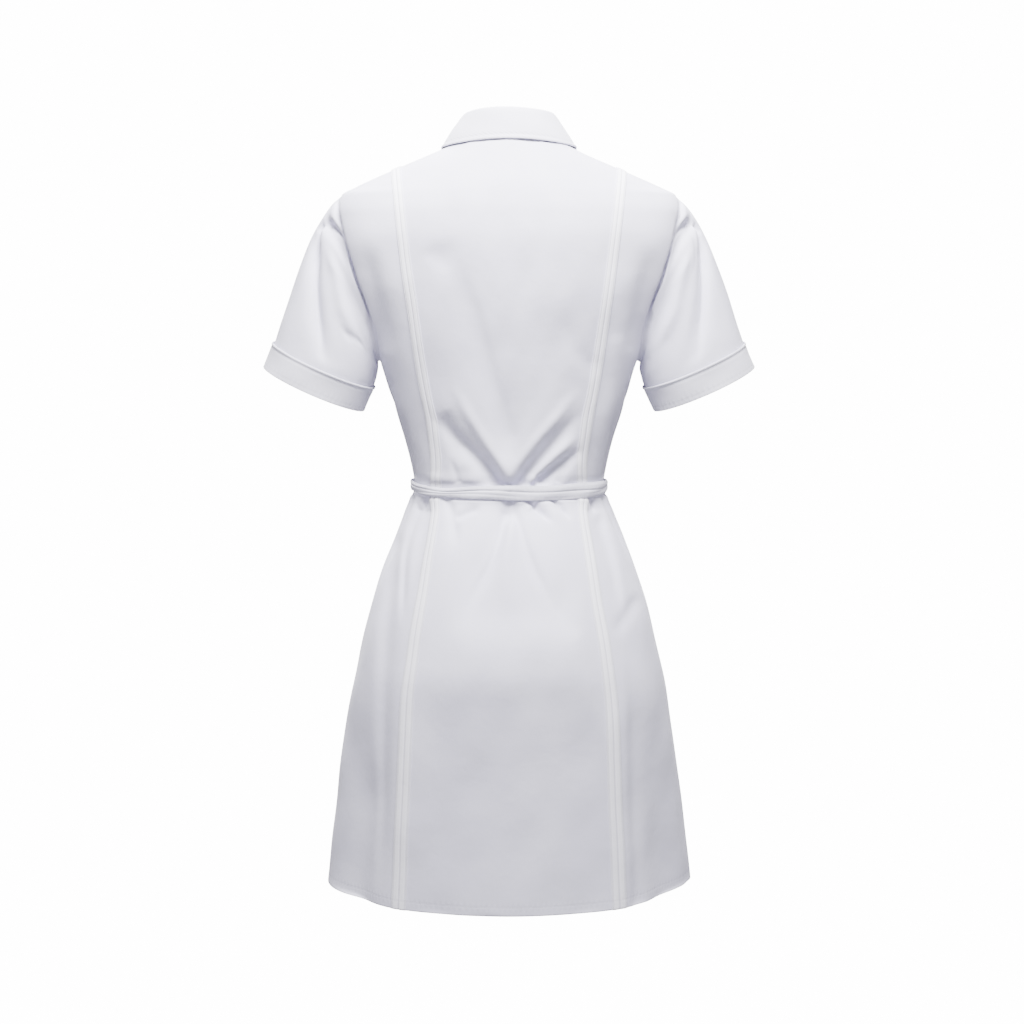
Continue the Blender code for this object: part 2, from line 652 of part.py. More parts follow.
def neck_line(back_count, front_count):
    """(angle, height) all round the neck, from the wearer's right front to the left front."""
    left_front = front_neck(front_count, FRONT_BAND_HALF)
    end_height = front_neck_height(COLLAR_FRONT_GAP)
    end = np.array([[math.pi - angle_at(COLLAR_FRONT_GAP, end_height), end_height]])
    left = np.concatenate([end, left_front])
    back = back_neck(back_count)[::-1]
    right = mirror_net(left)
    return np.concatenate([right[:-1], back[:-1], left[::-1]])


def turn_from_back(line):
    """How far round the neck each point is: 0 at the back, 1 at the centre front, signed by side."""
    points = body(line[:, 0], line[:, 1])
    return np.arctan2(points[:, 0], points[:, 1] + FOLD_CENTRE_SHIFT) / math.pi


def fold_ring(turn):
    """The line along which the collar folds."""
    angle = turn * math.pi
    depth = np.where(np.cos(angle) > 0, FOLD_BACK, FOLD_FRONT)
    drop = FOLD_SIDE_DROP * np.sin(angle) ** 2 + FOLD_FRONT_DROP * ((1 - np.cos(angle)) / 2) ** 4
    return np.stack([FOLD_HALF_WIDTH * np.sin(angle), depth * np.cos(angle), FOLD_HEIGHT - drop], axis=-1)


def fold_out(turn):
    """The level direction away from the neck at the fold."""
    angle = turn * math.pi
    return np.stack([np.sin(angle), np.cos(angle), np.zeros(len(turn))], axis=-1)


def fold_frame(line):
    """At each point of the collar's fold: the point, and the ways along the stand and away from it."""
    turn = turn_from_back(line)
    fold, level_out = fold_ring(turn), fold_out(turn)
    run = unit(np.gradient(fold, axis=0))
    up = fold - body(line[:, 0], line[:, 1])
    up = unit(up - np.sum(up * run, axis=1, keepdims=True) * run)
    away = np.cross(run, up)
    away *= np.sign(np.sum(away * level_out, axis=1, keepdims=True))
    return fold, up, away


def make_stand(line, trim):
    """The band of cloth between the neck edge and the collar's fold."""
    edge = body(line[:, 0], line[:, 1])
    out = body_facing(line[:, 0], line[:, 1])
    run = np.gradient(edge, axis=0)
    up = unit(np.cross(out, run))
    up *= np.sign(up[:, 2:3])
    foot = edge + HALF_GAP * up
    top, _, away = fold_frame(line)
    rows, ways = [], []
    for share in STAND_ROWS:
        bend = 4 * share * (1 - share) * STAND_HOLLOW
        rows.append(foot * (1 - share) + top * share - bend * away)
        ways.append(unit(out * (1 - share) + away * share))
    outside = np.stack(rows)
    wall("collar_stand", outside, outside - PANEL_CLOTH * np.stack(ways), trim)


def leaf_edge(turn):
    """(angle, height) of the line on the body that the collar leaf's edge lies over."""
    side = np.sign(turn)
    turn = np.abs(turn)
    at_back = turn <= 0.5
    angle_back = turn * math.pi
    rise = LEAF_BACK_HEIGHT - LEAF_SIDE_HEIGHT
    height_back = LEAF_SIDE_HEIGHT + rise * np.cos(angle_back) ** 2
    t = np.clip(2 * turn - 1, 0.0, 1.0)
    start = (section(LEAF_SIDE_HEIGHT)[0], LEAF_SIDE_HEIGHT)
    t = t**LEAF_CROWDING
    across = (1 - t) ** 2 * start[0] + 2 * t * (1 - t) * LEAF_CONTROL[0] + t**2 * LEAF_POINT[0]
    height = (1 - t) ** 2 * start[1] + 2 * t * (1 - t) * LEAF_CONTROL[1] + t**2 * LEAF_POINT[1]
    angle = np.where(at_back, angle_back, math.pi - angle_at(across, height))
    return np.stack([side * angle, np.where(at_back, height_back, height)], axis=-1)


def make_leaf(line, trim):
    """The collar's leaf: up over the fold, and down to its edge just clear of the body."""
    turn = turn_from_back(line)
    fold, up, away = fold_frame(line)
    share_round = turn / np.abs(turn).max()
    edge_line = leaf_edge(share_round)
    edge = laid_on(edge_line, LEAF_CLEAR + COLLAR_CLOTH)
    rows = [fold + out * away + rise * up for out, rise in LEAF_ROLL]
    brow = rows[-1]
    for share in LEAF_ROWS:
        rows.append(brow * (1 - share) + edge * share + 4 * share * (1 - share) * LEAF_SWELL * away)
    outside = np.stack(rows)
    run = np.gradient(outside, axis=1)
    down = np.gradient(outside, axis=0)
    out = unit(np.cross(down, run))
    middle = outside.shape[1] // 2
    out *= np.sign(out[len(rows) // 2, middle, 1])
    wall("collar_leaf", outside, outside - COLLAR_CLOTH * out, trim)


def make_belt(trim):
    """The belt: once round the waist, with its pointed end lapped over the other at the front."""
    angle = np.linspace(BELT_UNDER_END, BELT_OVER_END, BELT_STEPS + 1)
    lapped = smooth_step((BELT_LAP_START - angle) / BELT_LAP_RISE)
    lift = BELT_CLEAR + lapped * (BELT_CLOTH + SEAM_GAP)
    to_side = np.sin(angle) ** 2
    middle = BELT_MIDDLE + BELT_SIDE_RISE * to_side
    to_tip = np.clip((angle - BELT_OVER_END) / BELT_TIP, 0.0, 1.0)
    half = (BELT_HALF - BELT_SIDE_NARROWER * to_side) * (BELT_TIP_SHARE + (1 - BELT_TIP_SHARE) * to_tip)
    waist = smooth_body(angle, WAIST)
    out = facing(smooth_body, angle, np.full(len(angle), WAIST))
    up = np.array((0.0, 0.0, 1.0))
    nets = []
    for depth in (lift + BELT_CLOTH, lift):
        ring = waist + depth[:, None] * out + (middle - WAIST)[:, None] * up
        nets.append(np.stack([ring - half[:, None] * up, ring + half[:, None] * up]))
    wall("belt", nets[0], nets[1], trim)


def make_button(name, angle, height, lift, material):
    """A round button with a rounded rim, lying on the cloth."""
    centre = smooth_body(angle, height)
    out = facing(smooth_body, np.asarray(angle), np.asarray(height))
    level = unit(np.cross((0.0, 0.0, 1.0), out))
    up = np.cross(out, level)
    turn = np.arange(BUTTON_SIDES) * 2 * math.pi / BUTTON_SIDES
    points, triangles = [], []
    for share, rise in BUTTON_PROFILE:
        ring = BUTTON_RADIUS * share * (np.cos(turn)[:, None] * level + np.sin(turn)[:, None] * up)
        points.extend(centre + ring + (lift + BUTTON_THICK * rise) * out)
    for row in range(len(BUTTON_PROFILE) - 1):
        for i in range(BUTTON_SIDES):
            after = (i + 1) % BUTTON_SIDES
            a, b = row * BUTTON_SIDES + i, row * BUTTON_SIDES + after
            c, d = b + BUTTON_SIDES, a + BUTTON_SIDES
            triangles.extend(((a, b, c), (a, c, d)))
    last = len(BUTTON_PROFILE) - 1
    for row in (0, last):
        first = row * BUTTON_SIDES
        triangles.extend((first, first + i, first + i + 1) for i in range(1, BUTTON_SIDES - 1))
    return make_object(name, points, triangles, material)


def main():
    for thing in list(bpy.data.objects):
        bpy.data.objects.remove(thing, do_unlink=True)
    cloth = make_material(*WHITE_CLOTH)
    trim = make_material(*WHITE_TRIM)
    button = make_material(*BUTTON_WHITE)

    back_centre, back_side, front = panel_nets()
    panel("back_centre", back_centre, cloth)
    panel("back_side_left", back_side, cloth)
    panel("back_side_right", mirror_net(back_side), cloth)
    panel("front_left", front, cloth)
    panel("front_right", mirror_net(front), cloth)

    back_band = np.stack([back_line(-1), back_line(0), back_line(1)], axis=1)
    band("seam_band_left", back_band, trim)
    band("seam_band_right", mirror_net(back_band), trim)
    half_band = front[:, :2]
    other_half = mirror_net(half_band[:, 1:]) + np.array((2 * math.pi, 0.0))
    band("front_band", np.concatenate([half_band[:, ::-1], other_half], axis=1), trim)

    for side, word in ((1, "left"), (-1, "right")):
        make_sleeve(side, word, cloth, trim)
    line = neck_line(BACK_NECK_STEPS, FRONT_NECK_STEPS)
    make_stand(line, trim)
    make_leaf(line, trim)
    make_belt(trim)

    on_band = 2 * SEAM_GAP + BAND_CLOTH
    for number, height in enumerate(BUTTON_HEIGHTS, 1):
        make_button(f"button_{number}", math.pi, height, on_band, button)
    on_belt = BELT_CLEAR + 2 * BELT_CLOTH + 2 * SEAM_GAP
    make_button("belt_button", math.pi, WAIST, on_belt, button)


main()
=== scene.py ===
"""How a white short-sleeved nurse uniform dress looks: its cloth, creases, seams, stitching and buttons.

Metres, +Z up. The back of the dress faces +Y and the wearer's left is +X. Every cloth piece is a thin
closed shell that follows its solid's form. The body is one surface, given by an angle, 0 at the centre
back and 180 at the centre front, and a height, and each panel is the stretch of it between its seams.
"""

import math

import bpy
import numpy as np
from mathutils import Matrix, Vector, kdtree


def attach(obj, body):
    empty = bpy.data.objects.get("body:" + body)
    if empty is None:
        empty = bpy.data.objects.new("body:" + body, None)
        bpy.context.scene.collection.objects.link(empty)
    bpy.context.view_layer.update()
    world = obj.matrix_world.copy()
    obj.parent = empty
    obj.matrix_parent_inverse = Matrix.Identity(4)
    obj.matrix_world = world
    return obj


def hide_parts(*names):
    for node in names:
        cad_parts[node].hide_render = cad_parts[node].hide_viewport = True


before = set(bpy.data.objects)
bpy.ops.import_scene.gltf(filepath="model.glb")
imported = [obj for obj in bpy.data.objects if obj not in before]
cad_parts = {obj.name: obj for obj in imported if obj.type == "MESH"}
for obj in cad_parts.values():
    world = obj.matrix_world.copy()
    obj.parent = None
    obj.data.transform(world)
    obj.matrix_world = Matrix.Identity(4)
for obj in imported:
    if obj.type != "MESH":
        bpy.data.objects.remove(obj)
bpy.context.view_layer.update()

# Tables in millimetres are brought to metres with this
MM = 0.001

# Cloth
SINGLE_CLOTH = 0.0007
DOUBLED_CLOTH = 0.0011
BELT_CLOTH = 0.0014
SEAM_GAP = 0.0003
# Ridges and grooves along an edge. Columns: height, distance from the edge, reach
SEAM_DIP = (-0.0006, 0.0, 0.0018)
EDGE_ROLL = 0.35
# A distance from an edge at which nothing of it shows
FAR_OFF = 0.5
# What a material knows of each point of its cloth
VALUE_NAMES = ("across", "up", "hem_gap", "seam_gap", "middle_gap")

# Heights of the body
HEM = -0.873
WAIST = -0.402
UNDERARM = -0.252
SHOULDER_TIP = -0.058
HEM_RISE_LEFT = 0.0025
HEM_RISE_RIGHT = 0.0045
HEM_RISE_START = -0.6
BACK_NECK_RISE = 0.008
FRONT_NECK_DROP = 0.062
NECK_HALF_WIDTH = 0.068

# Level sections of the body. Columns: height, half width, back depth, front depth, squareness
SECTIONS = (
    (-0.873, 0.217, 0.161, 0.151, 2.1),
    (-0.8, 0.2087, 0.1575, 0.1475, 2.12),
    (-0.702, 0.1967, 0.1535, 0.1425, 2.15),
    (-0.64, 0.187, 0.1508, 0.138, 2.18),
    (-0.612, 0.1812, 0.1492, 0.1352, 2.2),
    (-0.582, 0.1745, 0.144, 0.132, 2.2),
    (-0.534, 0.1623, 0.132, 0.1255, 2.2),
    (-0.486, 0.1466, 0.115, 0.1165, 2.18),
    (-0.462, 0.137, 0.1045, 0.111, 2.16),
    (-0.438, 0.1272, 0.0905, 0.104, 2.15),
    (-0.42, 0.12, 0.0775, 0.0968, 2.15),
    (-0.412, 0.1147, 0.072, 0.093, 2.15),
    (-0.392, 0.112, 0.072, 0.093, 2.15),
    (-0.38, 0.1138, 0.074, 0.0952, 2.18),
    (-0.344, 0.1223, 0.0775, 0.1025, 2.22),
    (-0.296, 0.1374, 0.0828, 0.1145, 2.3),
    (-0.252, 0.1505, 0.0868, 0.1235, 2.4),
    (-0.225, 0.162, 0.089, 0.125, 2.45),
    (-0.19, 0.179, 0.092, 0.121, 2.5),
    (-0.15, 0.195, 0.0952, 0.111, 2.55),
    (-0.11, 0.203, 0.0972, 0.0965, 2.55),
    (-0.08, 0.2035, 0.0945, 0.0835, 2.4),
    (-0.058, 0.1955, 0.089, 0.0732, 2.2),
    (-0.0486, 0.178, 0.0855, 0.0682, 2.12),
    (-0.03, 0.137, 0.0765, 0.058, 2.08),
    (-0.0069, 0.0835, 0.0645, 0.0455, 2.08),
    (0.0, 0.068, 0.061, 0.042, 2.1),
    (0.008, 0.05, 0.0562, 0.038, 2.1),
)

# The long back seams and their stitched bands. Columns: height, distance from the centre, band width
BACK_SEAM = (
    (-0.873, 0.1262, 0.0185),
    (-0.799, 0.1232, 0.018),
    (-0.717, 0.1195, 0.0175),
    (-0.635, 0.1158, 0.0165),
    (-0.582, 0.1098, 0.0155),
    (-0.511, 0.0987, 0.0145),
    (-0.461, 0.0916, 0.014),
    (-0.411, 0.0855, 0.0135),
    (-0.377, 0.0843, 0.0135),
    (-0.324, 0.0892, 0.0135),
    (-0.281, 0.097, 0.013),
    (-0.178, 0.1115, 0.013),
    (-0.138, 0.1172, 0.0125),
    (-0.06, 0.1262, 0.012),
    (-0.028, 0.131, 0.012),
)

# The body's largest folds, from the deep end to the soft end. Troughs have a negative height.
# Columns in millimetres: face, deep end's x and z, soft end's x and z, reach, height
BACK, FRONT, LEFT, RIGHT = "back", "front", "left", "right"
FOLDS = (
    (BACK, 11, -390, 94, -298, 12, -6.2),
    (BACK, -12, -390, -84, -303, 11.5, -5.8),
    (BACK, -38, -387, -84, -349, 9, -5),
    (BACK, 1, -382, 40, -292, 11, 3),
    (BACK, 0, -382, -36, -292, 11, 3),
    (BACK, 5, -424, 49, -518, 10, -5),
    (BACK, -10, -418, -16, -462, 9, -2.5),
    (BACK, -30, -416, -56, -438, 8, -3),
    (BACK, 98, -424, 128, -600, 13, -6),
    (BACK, -100, -424, -132, -590, 13, -5),
    (BACK, 178, -873, 160, -560, 30, -8.5),
    (BACK, -192, -873, -172, -630, 30, -10.5),
    (BACK, 70, -130, 10, -300, 16, -2.5),
    (FRONT, 40, -380, 86, -290, 13, -5.5),
    (FRONT, -44, -380, -90, -296, 13, -5.5),
    (FRONT, 58, -420, 72, -520, 12, -5),
    (FRONT, -50, -420, -76, -530, 12, -5),
    (FRONT, 120, -873, 110, -560, 28, -7.5),
    (FRONT, -124, -873, -108, -560, 28, -7),
)
# Shares of a fold's length: past its ends, to fade in over, to fade out over
FOLD_FADES = (0.12, 0.12, 1.12)
FOLD_CLEAR_OF_BELT = 0.01
FOLD_BELT_FADE = 0.01
TROUGH_CLEAR_OF_BELT = 0.002
FOLD_SIDE_FADE = 0.03

# Creases of the body, drawn as lines on one face: x and z on the back and front, y and z on a side.
# The lean makes the first side of the line steeper than the other.
# Columns: face, reach and height in millimetres, lean, share of the length to fade in over, share to
# fade out over, then the line's points in millimetres, two numbers each
CREASES = (
    (BACK, 56, 8.2, 0.48, 0.25, 0.25, -85, -570, -40, -581, 40, -581, 85, -570),
    (BACK, 55, 3, 0, 0.25, 0.25, -100, -160, -50, -172, 50, -172, 100, -160),
    (BACK, 13, -4.4, 0, 0.5, 0.45, 146, -230, 157, -165, 161, -115),
    (BACK, 13, -4, 0, 0.5, 0.45, -146, -232, -157, -168, -161, -118),
    (BACK, 6.5, -3.8, 0.1, 0.03, 0.5, 6, -399, 27, -372.5, 52, -348, 74, -327.5, 93, -311),
    (BACK, 6.6, -3.2, -0.1, 0.03, 0.45, -6, -397, -26.5, -371.5, -46.5, -349, -67, -326.5, -86, -306),
    (BACK, 5.2, -4.6, -0.2, 0.05, 0.4, -26.5, -396, -53.4, -374.8, -85, -350),
    (BACK, 5, 3, 0, 0.1, 0.4, -21, -390, -48, -363, -80, -334),
    (BACK, 15, -3.2, 0, 0.4, 0.6, 0, -356, 1, -315, 4, -250),
    (BACK, 6.5, 3, 0, 0.45, 0.5, 2, -383, 14, -362, 31.6, -335, 50, -304, 64, -276),
    (BACK, 6.5, 3, 0, 0.45, 0.5, -4, -383, -15, -364, -31, -342, -56, -313, -80, -283),
    (BACK, 10, -1.4, 0.3, 0.3, 0.5, 0, -335.2, 21, -262, 38.6, -195.3, 55, -152, 69.8, -118),
    (BACK, 9, -2.6, 0.2, 0.3, 0.4, 74, -313, 64, -345, 55.1, -370),
    (BACK, 3.8, -1.4, 0, 0.05, 0.5, 58, -390, 64, -372, 68, -360),
    (BACK, 4, -1.2, 0, 0.05, 0.5, -56, -390, -64, -376, -72, -368),
    (BACK, 6, 1.4, 0, 0.3, 0.3, 36, -386, 65, -387, 100, -385),
    (BACK, 11, 3, 0, 0.4, 0.4, -124, -230, -120, -290, -108, -350, -103, -385),
    (BACK, 9, -1, 0, 0.3, 0.4, 92, -125, 78, -137, 62, -143),
    (BACK, 11, -1.2, 0, 0.3, 0.5, -98, -260, -76, -235, -60, -190),
    (BACK, 6.2, -4.6, 0.2, 0.3, 0.7, 0, -406, 8, -443, 20.3, -477.8, 39.6, -513.2, 54.3, -544.2),
    (BACK, 5.6, -3.6, -0.2, 0.3, 0.7, -2.5, -406, -13.9, -444, -27.4, -482.1, -42.1, -509.9, -55, -535),
    (BACK, 9, 2.4, 0, 0.2, 0.6, -1, -430, 2, -470, 4, -540),
    (BACK, 3, -4.2, 0.2, 0.05, 0.45, -19, -408, -34, -420.5, -49.4, -433.5),
    (BACK, 3, -4.2, 0.2, 0.05, 0.45, -47, -408, -59, -419, -72, -432),
    (BACK, 4.5, 1.8, 0, 0.05, 0.45, -35, -411, -48, -423, -62, -436),
    (BACK, 4, -3, 0, 0.3, 0.4, 60, -429, 46, -422.5, 32, -418),
    (BACK, 5.5, -2.8, 0, 0.1, 0.5, 72, -408, 65, -430, 60, -465),
    (BACK, 2.6, -3.4, 0, 0.05, 0.5, 90, -405, 97.5, -413, 105.5, -423),
    (BACK, 2.6, -3.4, 0, 0.05, 0.5, -89, -405, -96.5, -413, -104, -423),
    (BACK, 4.2, -3, 0.35, 0.08, 0.35, 106, -418, 115, -442, 122.5, -475, 124.5, -512, 123.5, -548),
    (BACK, 10, -4.2, 0.25, 0.25, 0.4, 133, -462, 140, -530, 145, -620, 148, -720, 150, -873),
    (BACK, 5.5, -2.6, -0.3, 0.15, 0.4, -108, -430, -120, -480, -130.8, -542.6),
    (BACK, 7.5, -2, 0, 0.3, 0.5, -148.9, -525.1, -135, -543, -120.9, -562.2),
    (BACK, 11, -1.2, 0, 0.3, 0.6, -74, -556, -60, -530, -57, -490),
    (BACK, 20, -6.2, 0, 0.05, 0.5, 186, -873, 172, -770, 160, -660),
    (BACK, 26, -4.6, 0, 0.05, 0.5, -190, -873, -170, -760, -158, -640),
    (BACK, 10, -3.4, -0.25, 0.05, 0.5, -150, -873, -147, -760, -144, -650, -140, -560),
    (BACK, 18, -1.4, 0, 0.05, 0.6, 80, -873, 72, -760, 70, -660),
    (BACK, 20, -1.2, 0, 0.05, 0.6, -88, -873, -83, -770, -85, -650),
    (BACK, 17, 1, 0, 0.05, 0.6, 18, -873, 12, -790, 15, -710),
    (FRONT, 6, -3.2, 0.25, 0.03, 0.5, 33, -388, 44, -364, 60, -336, 80, -306, 96, -285),
    (FRONT, 5.8, -3.4, -0.25, 0.03, 0.5, -36, -388, -48, -364, -66, -335, -88, -308, -101, -296),
    (FRONT, 4.5, -2.6, 0.25, 0.03, 0.45, 58, -389, 72, -368, 90, -350),
    (FRONT, 4.5, -2.2, -0.25, 0.03, 0.45, -64, -389, -76, -372, -93, -356),
    (FRONT, 4, -1.6, 0, 0.05, 0.5, 24, -390, 26, -372, 30, -348),
    (FRONT, 11, -1.8, 0.2, 0.25, 0.5, 148, -170, 118, -192, 80, -220),
    (FRONT, 11, -1.6, -0.2, 0.25, 0.5, -146, -178, -112, -202, -76, -224),
    (FRONT, 9, -1.2, 0, 0.25, 0.5, 62, -112, 80, -150, 86, -190),
    (FRONT, 9, -1, 0, 0.25, 0.5, -64, -116, -80, -146, -88, -184),
    (FRONT, 6.5, -3.4, 0.25, 0.03, 0.55, 48, -408, 56, -442, 64, -480, 68, -530),
    (FRONT, 6.2, -3, -0.25, 0.03, 0.55, -44, -408, -56, -446, -70, -488, -79, -540),
    (FRONT, 3.8, -2.2, 0, 0.05, 0.45, 74, -408, 84, -424, 93, -440),
    (FRONT, 3.6, -2, 0, 0.05, 0.45, -72, -408, -83, -420, -96, -432),
    (FRONT, 3.6, -1.8, 0, 0.05, 0.45, 25, -409, 29, -426, 30, -448),
    (FRONT, 3.6, -1.6, 0, 0.05, 0.45, -27, -409, -29, -424, -33, -438),
    (FRONT, 16, -1.4, 0, 0.05, 0.6, 56, -873, 52, -770, 50, -660),
    (FRONT, 18, -1.4, 0, 0.05, 0.6, -62, -873, -56, -760, -60, -640),
    (FRONT, 4, -0.6, 0, 0.1, 0.6, 17, -176, 30, -173, 44, -169),
    (FRONT, 4, -0.6, 0, 0.1, 0.6, -17, -260, -32, -257, -48, -250),
    (FRONT, 4, -0.7, 0, 0.1, 0.6, 17, -261, 33, -262, 50, -259),
    (FRONT, 4, -0.6, 0, 0.1, 0.6, -17, -344, -29, -346, -42, -352),
    (FRONT, 4.5, -0.6, 0, 0.1, 0.6, 17, -460, 31, -464, 45, -472),
    (LEFT, 6, -2.6, 0.2, 0.03, 0.5, 12, -386, 21, -352, 35, -308),
    (LEFT, 6, -2.8, -0.2, 0.03, 0.5, -30, -386, -38, -350, -56, -305),
    (LEFT, 5, -2.2, 0, 0.03, 0.5, -18, -410, -28, -440, -34, -490),
    (LEFT, 5, -2, 0, 0.03, 0.5, 18, -410, 24, -450, 28, -510),
    (LEFT, 20, -3, 0, 0.05, 0.55, -50, -873, -46, -740, -40, -600),
    (LEFT, 22, 2.6, 0, 0.05, 0.55, 25, -873, 26, -750, 24, -620),
    (LEFT, 9, -1.6, 0, 0.25, 0.45, 30, -270, 8, -300, -18, -328),
    (RIGHT, 6, -2.6, -0.2, 0.03, 0.5, 16, -386, 23, -350, 40, -314),
    (RIGHT, 6, -2.6, 0.2, 0.03, 0.5, -26, -386, -36, -354, -52, -312),
    (RIGHT, 5, -2.2, 0, 0.03, 0.5, -20, -410, -27, -446, -30, -500),
    (RIGHT, 5, -1.8, 0, 0.03, 0.5, 22, -410, 26, -444, 34, -486),
    (RIGHT, 22, -3, 0, 0.05, 0.55, -44, -873, -42, -750, -36, -610),
    (RIGHT, 22, 2.4, 0, 0.05, 0.55, 28, -873, 28, -760, 30, -630),
    (RIGHT, 9, -1.4, 0, 0.25, 0.45, 26, -276, 2, -304, -24, -324),
)
CREASE_FACE_FADE = 0.02
BELT_HALF_COVER = 0.007
BELT_COVER_FADE = 0.008
# Columns: height, its middle, reach
UNDER_BELT_SWELL = (0.0026, -0.4128, 0.0046)

# Unevenness of all the cloth, as gentle waves.
# Columns: waves round the body, waves a metre up, phase, size
DRIFT = (
    (5, 3.1, 0.4, 0.00035),
    (7, -4.3, 2.1, 0.0003),
    (11, 6.7, 1.3, 0.00022),
    (13, -9.1, 4.0, 0.00018),
    (3, 12.7, 5.2, 0.0002),
    (19, 11.3, 0.9, 0.00012),
)

# The part's rows above the underarm, as shares of the way up, which the finer rows follow
YOKE_ROWS = 10
BACK_ROW_SHARES = (0.0, 0.07, 0.18, 0.32, 0.48, 0.63, 0.76, 0.87, 0.94, 0.985, 1.0)
FRONT_ROW_SHARES = (0.0, 0.06, 0.16, 0.28, 0.41, 0.54, 0.66, 0.77, 0.86, 0.94, 1.0)
ARMHOLE_BACK = math.radians(31.5)
ARMHOLE_FRONT = math.radians(34.0)
ARMHOLE_TOP_FULLNESS = 0.85
ARMHOLE_FOOT_FULLNESS = 1.0

# Fine rows of the panels: ends and numbers of steps, closer together at the waist
ROW_RUNS = ((-0.873, -0.868, 3), (-0.868, -0.44, 108), (-0.44, -0.366, 46), (-0.366, UNDERARM, 33))
FINE_YOKE_ROWS = 84
LOW_ROWS = np.concatenate([np.linspace(a, b, n + 1)[:-1] for a, b, n in ROW_RUNS] + [[UNDERARM]])
YOKE_SHARES = np.arange(1, FINE_YOKE_ROWS + 1) / FINE_YOKE_ROWS

# Steps of the panels' top edges, and columns of the panels
BACK_NECK_STEPS = 200
FRONT_NECK_STEPS = 160
SHOULDER_BESIDE_NECK_STEPS = 80
SHOULDER_STEPS = 120
BACK_CENTRE_COLUMNS = 96
BACK_SIDE_COLUMNS = 54
FRONT_COLUMNS = 86
# Shares of the way across half a band, and across a panel beside its first and its last seam
UNDER_BAND_SHARES = np.linspace(0, 1, 5)[:-1]
SEAM_SIDE_SHARES, SIDE_SEAM_SHARES = (0.0, 0.005, 0.011, 0.019), (0.981, 0.989, 0.995, 1.0)

# Sleeves and cuffs, given for the wearer's left
CUFF_TOP_CENTRE = np.array((0.2184, -0.008, -0.255))
SLEEVE_AXIS = np.array((0.405, -0.105, -0.908))
CUFF_HEIGHT = 0.0295
CUFF_LIP = 0.0012
SLEEVE_HALF_WIDTH = 0.0636
SLEEVE_HALF_DEPTH = 0.052
SLEEVE_LENGTH = 0.2
SLEEVE_TURN_STEPS = 192
SLEEVE_ROWS = 84
SLEEVE_START_ROWS = (0.0, 0.003, 0.007, 0.012, 0.018, 0.025, 0.032)
SLEEVE_IN_CUFF = np.linspace(0.1, 0.96, 8)
TUBE_RADIUS = 0.058
HEAD_LIFT = 0.33
FOOT_LIFT = 0.8
HEAD_BOW = 0.001
CUFF_BOW = 0.0105
ARMHOLE_PULL, ARMHOLE_PULL_TOP, ARMHOLE_PULL_SIDE = 0.024, 0.017, 0.002
CUFF_PULL, CUFF_PULL_TOP = 0.066, 0.044
CUFF_ROWS = np.concatenate([[0.0, 0.02, 0.05, 0.09, 0.13], np.linspace(0.18, 0.94, 12), [0.975, 1.0]])
CUFF_FLARE, CUFF_FLARE_REACH, CUFF_FLARE_WAVE = 0.0011, 0.008, 0.3
CUFF_WAVE = 0.0004
# Columns: height, distance from the edge, reach
CUFF_RIDGE = (0.0005, 0.0012, 0.0012)
CUFF_GROOVE = (-0.0005, 0.0034, 0.0009)

# Folds of the sleeves. Places are degrees from the shoulder over the back, and shares of the way from
# the armhole to the cuff. Columns: one end, the other end, reach and height in millimetres
SLEEVE_FOLDS = (
    (30, 0.24, 77, 0.08, 11, -6),
    (28, 0.4, 92, 0.94, 12, -5.5),
    (66, 0.3, 112, 0.62, 15, 3.5),
    (-32, 0.26, -78, 0.08, 11, -6),
    (-26, 0.42, -84, 0.92, 13, -5),
    (-70, 0.34, -112, 0.66, 15, 3),
)
SLEEVE_FOLD_FADES = (0.15, 0.3, 0.5)
SLEEVE_ARMHOLE_FADE = 0.12
SLEEVE_EDGE_FADE = 0.035
SLEEVE_CUFF_FADE = 0.1

# Creases of the sleeves, with places as above.
# Columns: side, reach and height in millimetres, lean, fade in, fade out, then the line's points
BOTH_SIDES = 0
SLEEVE_CREASES = (
    (1, 5, -4, 0.2, 0.2, 0.1, 20, 0.34, 36, 0.2, 58, 0.1, 80, 0.05, 100, 0.04, 124, 0.05),
    (1, 4.6, -4.2, 0.3, 0.15, 0.35, 24, 0.3, 33, 0.45, 46, 0.58, 68, 0.75, 94, 0.97),
    (1, 6.5, -1.4, 0, 0.4, 0.3, 102, 0.66, 115, 0.59, 127, 0.52),
    (-1, 5, -4, 0.2, 0.2, 0.1, 18, 0.36, 34, 0.2, 54, 0.1, 76, 0.05, 98, 0.04, 120, 0.05),
    (-1, 4.4, -3.4, 0.3, 0.15, 0.4, 22, 0.3, 32, 0.46, 45, 0.6, 66, 0.77, 90, 0.97),
    (-1, 5, -1.2, 0, 0.3, 0.5, 34, 0.2, 44, 0.38, 60, 0.5),
    (BOTH_SIDES, 5, -3.4, -0.3, 0.2, 0.1, -22, 0.34, -42, 0.18, -62, 0.09, -86, 0.05, -116, 0.05),
    (BOTH_SIDES, 4.6, -3, -0.3, 0.15, 0.35, -24, 0.34, -38, 0.5, -58, 0.7, -86, 0.96),
    (BOTH_SIDES, 6, -1.6, 0, 0.3, 0.3, -84, 0.58, -98, 0.51, -112, 0.44),
    (BOTH_SIDES, 7, -2, 0, 0.2, 0.2, 150, 0.3, 178, 0.36, 206, 0.3),
)
# Columns: waves round, waves a metre along, phase, size
SLEEVE_DRIFT = ((4, 9.0, 0.6, 0.00016), (5, -13.0, 2.2, 0.00012), (3, 17.0, 4.4, 0.0001))

# The sleeve tucks in beside the armhole. Columns: degrees from the shoulder over the back, depth
ARMHOLE_TUCK = (
    (-180.0, 0.0008),
    (-120.0, 0.0016),
    (-80.0, 0.003),
    (-40.0, 0.0022),
    (0.0, 0.0006),
    (24.0, 0.0044),
    (45.0, 0.0072),
    (85.0, 0.0074),
    (120.0, 0.004),
    (150.0, 0.0014),
    (180.0, 0.0008),
)
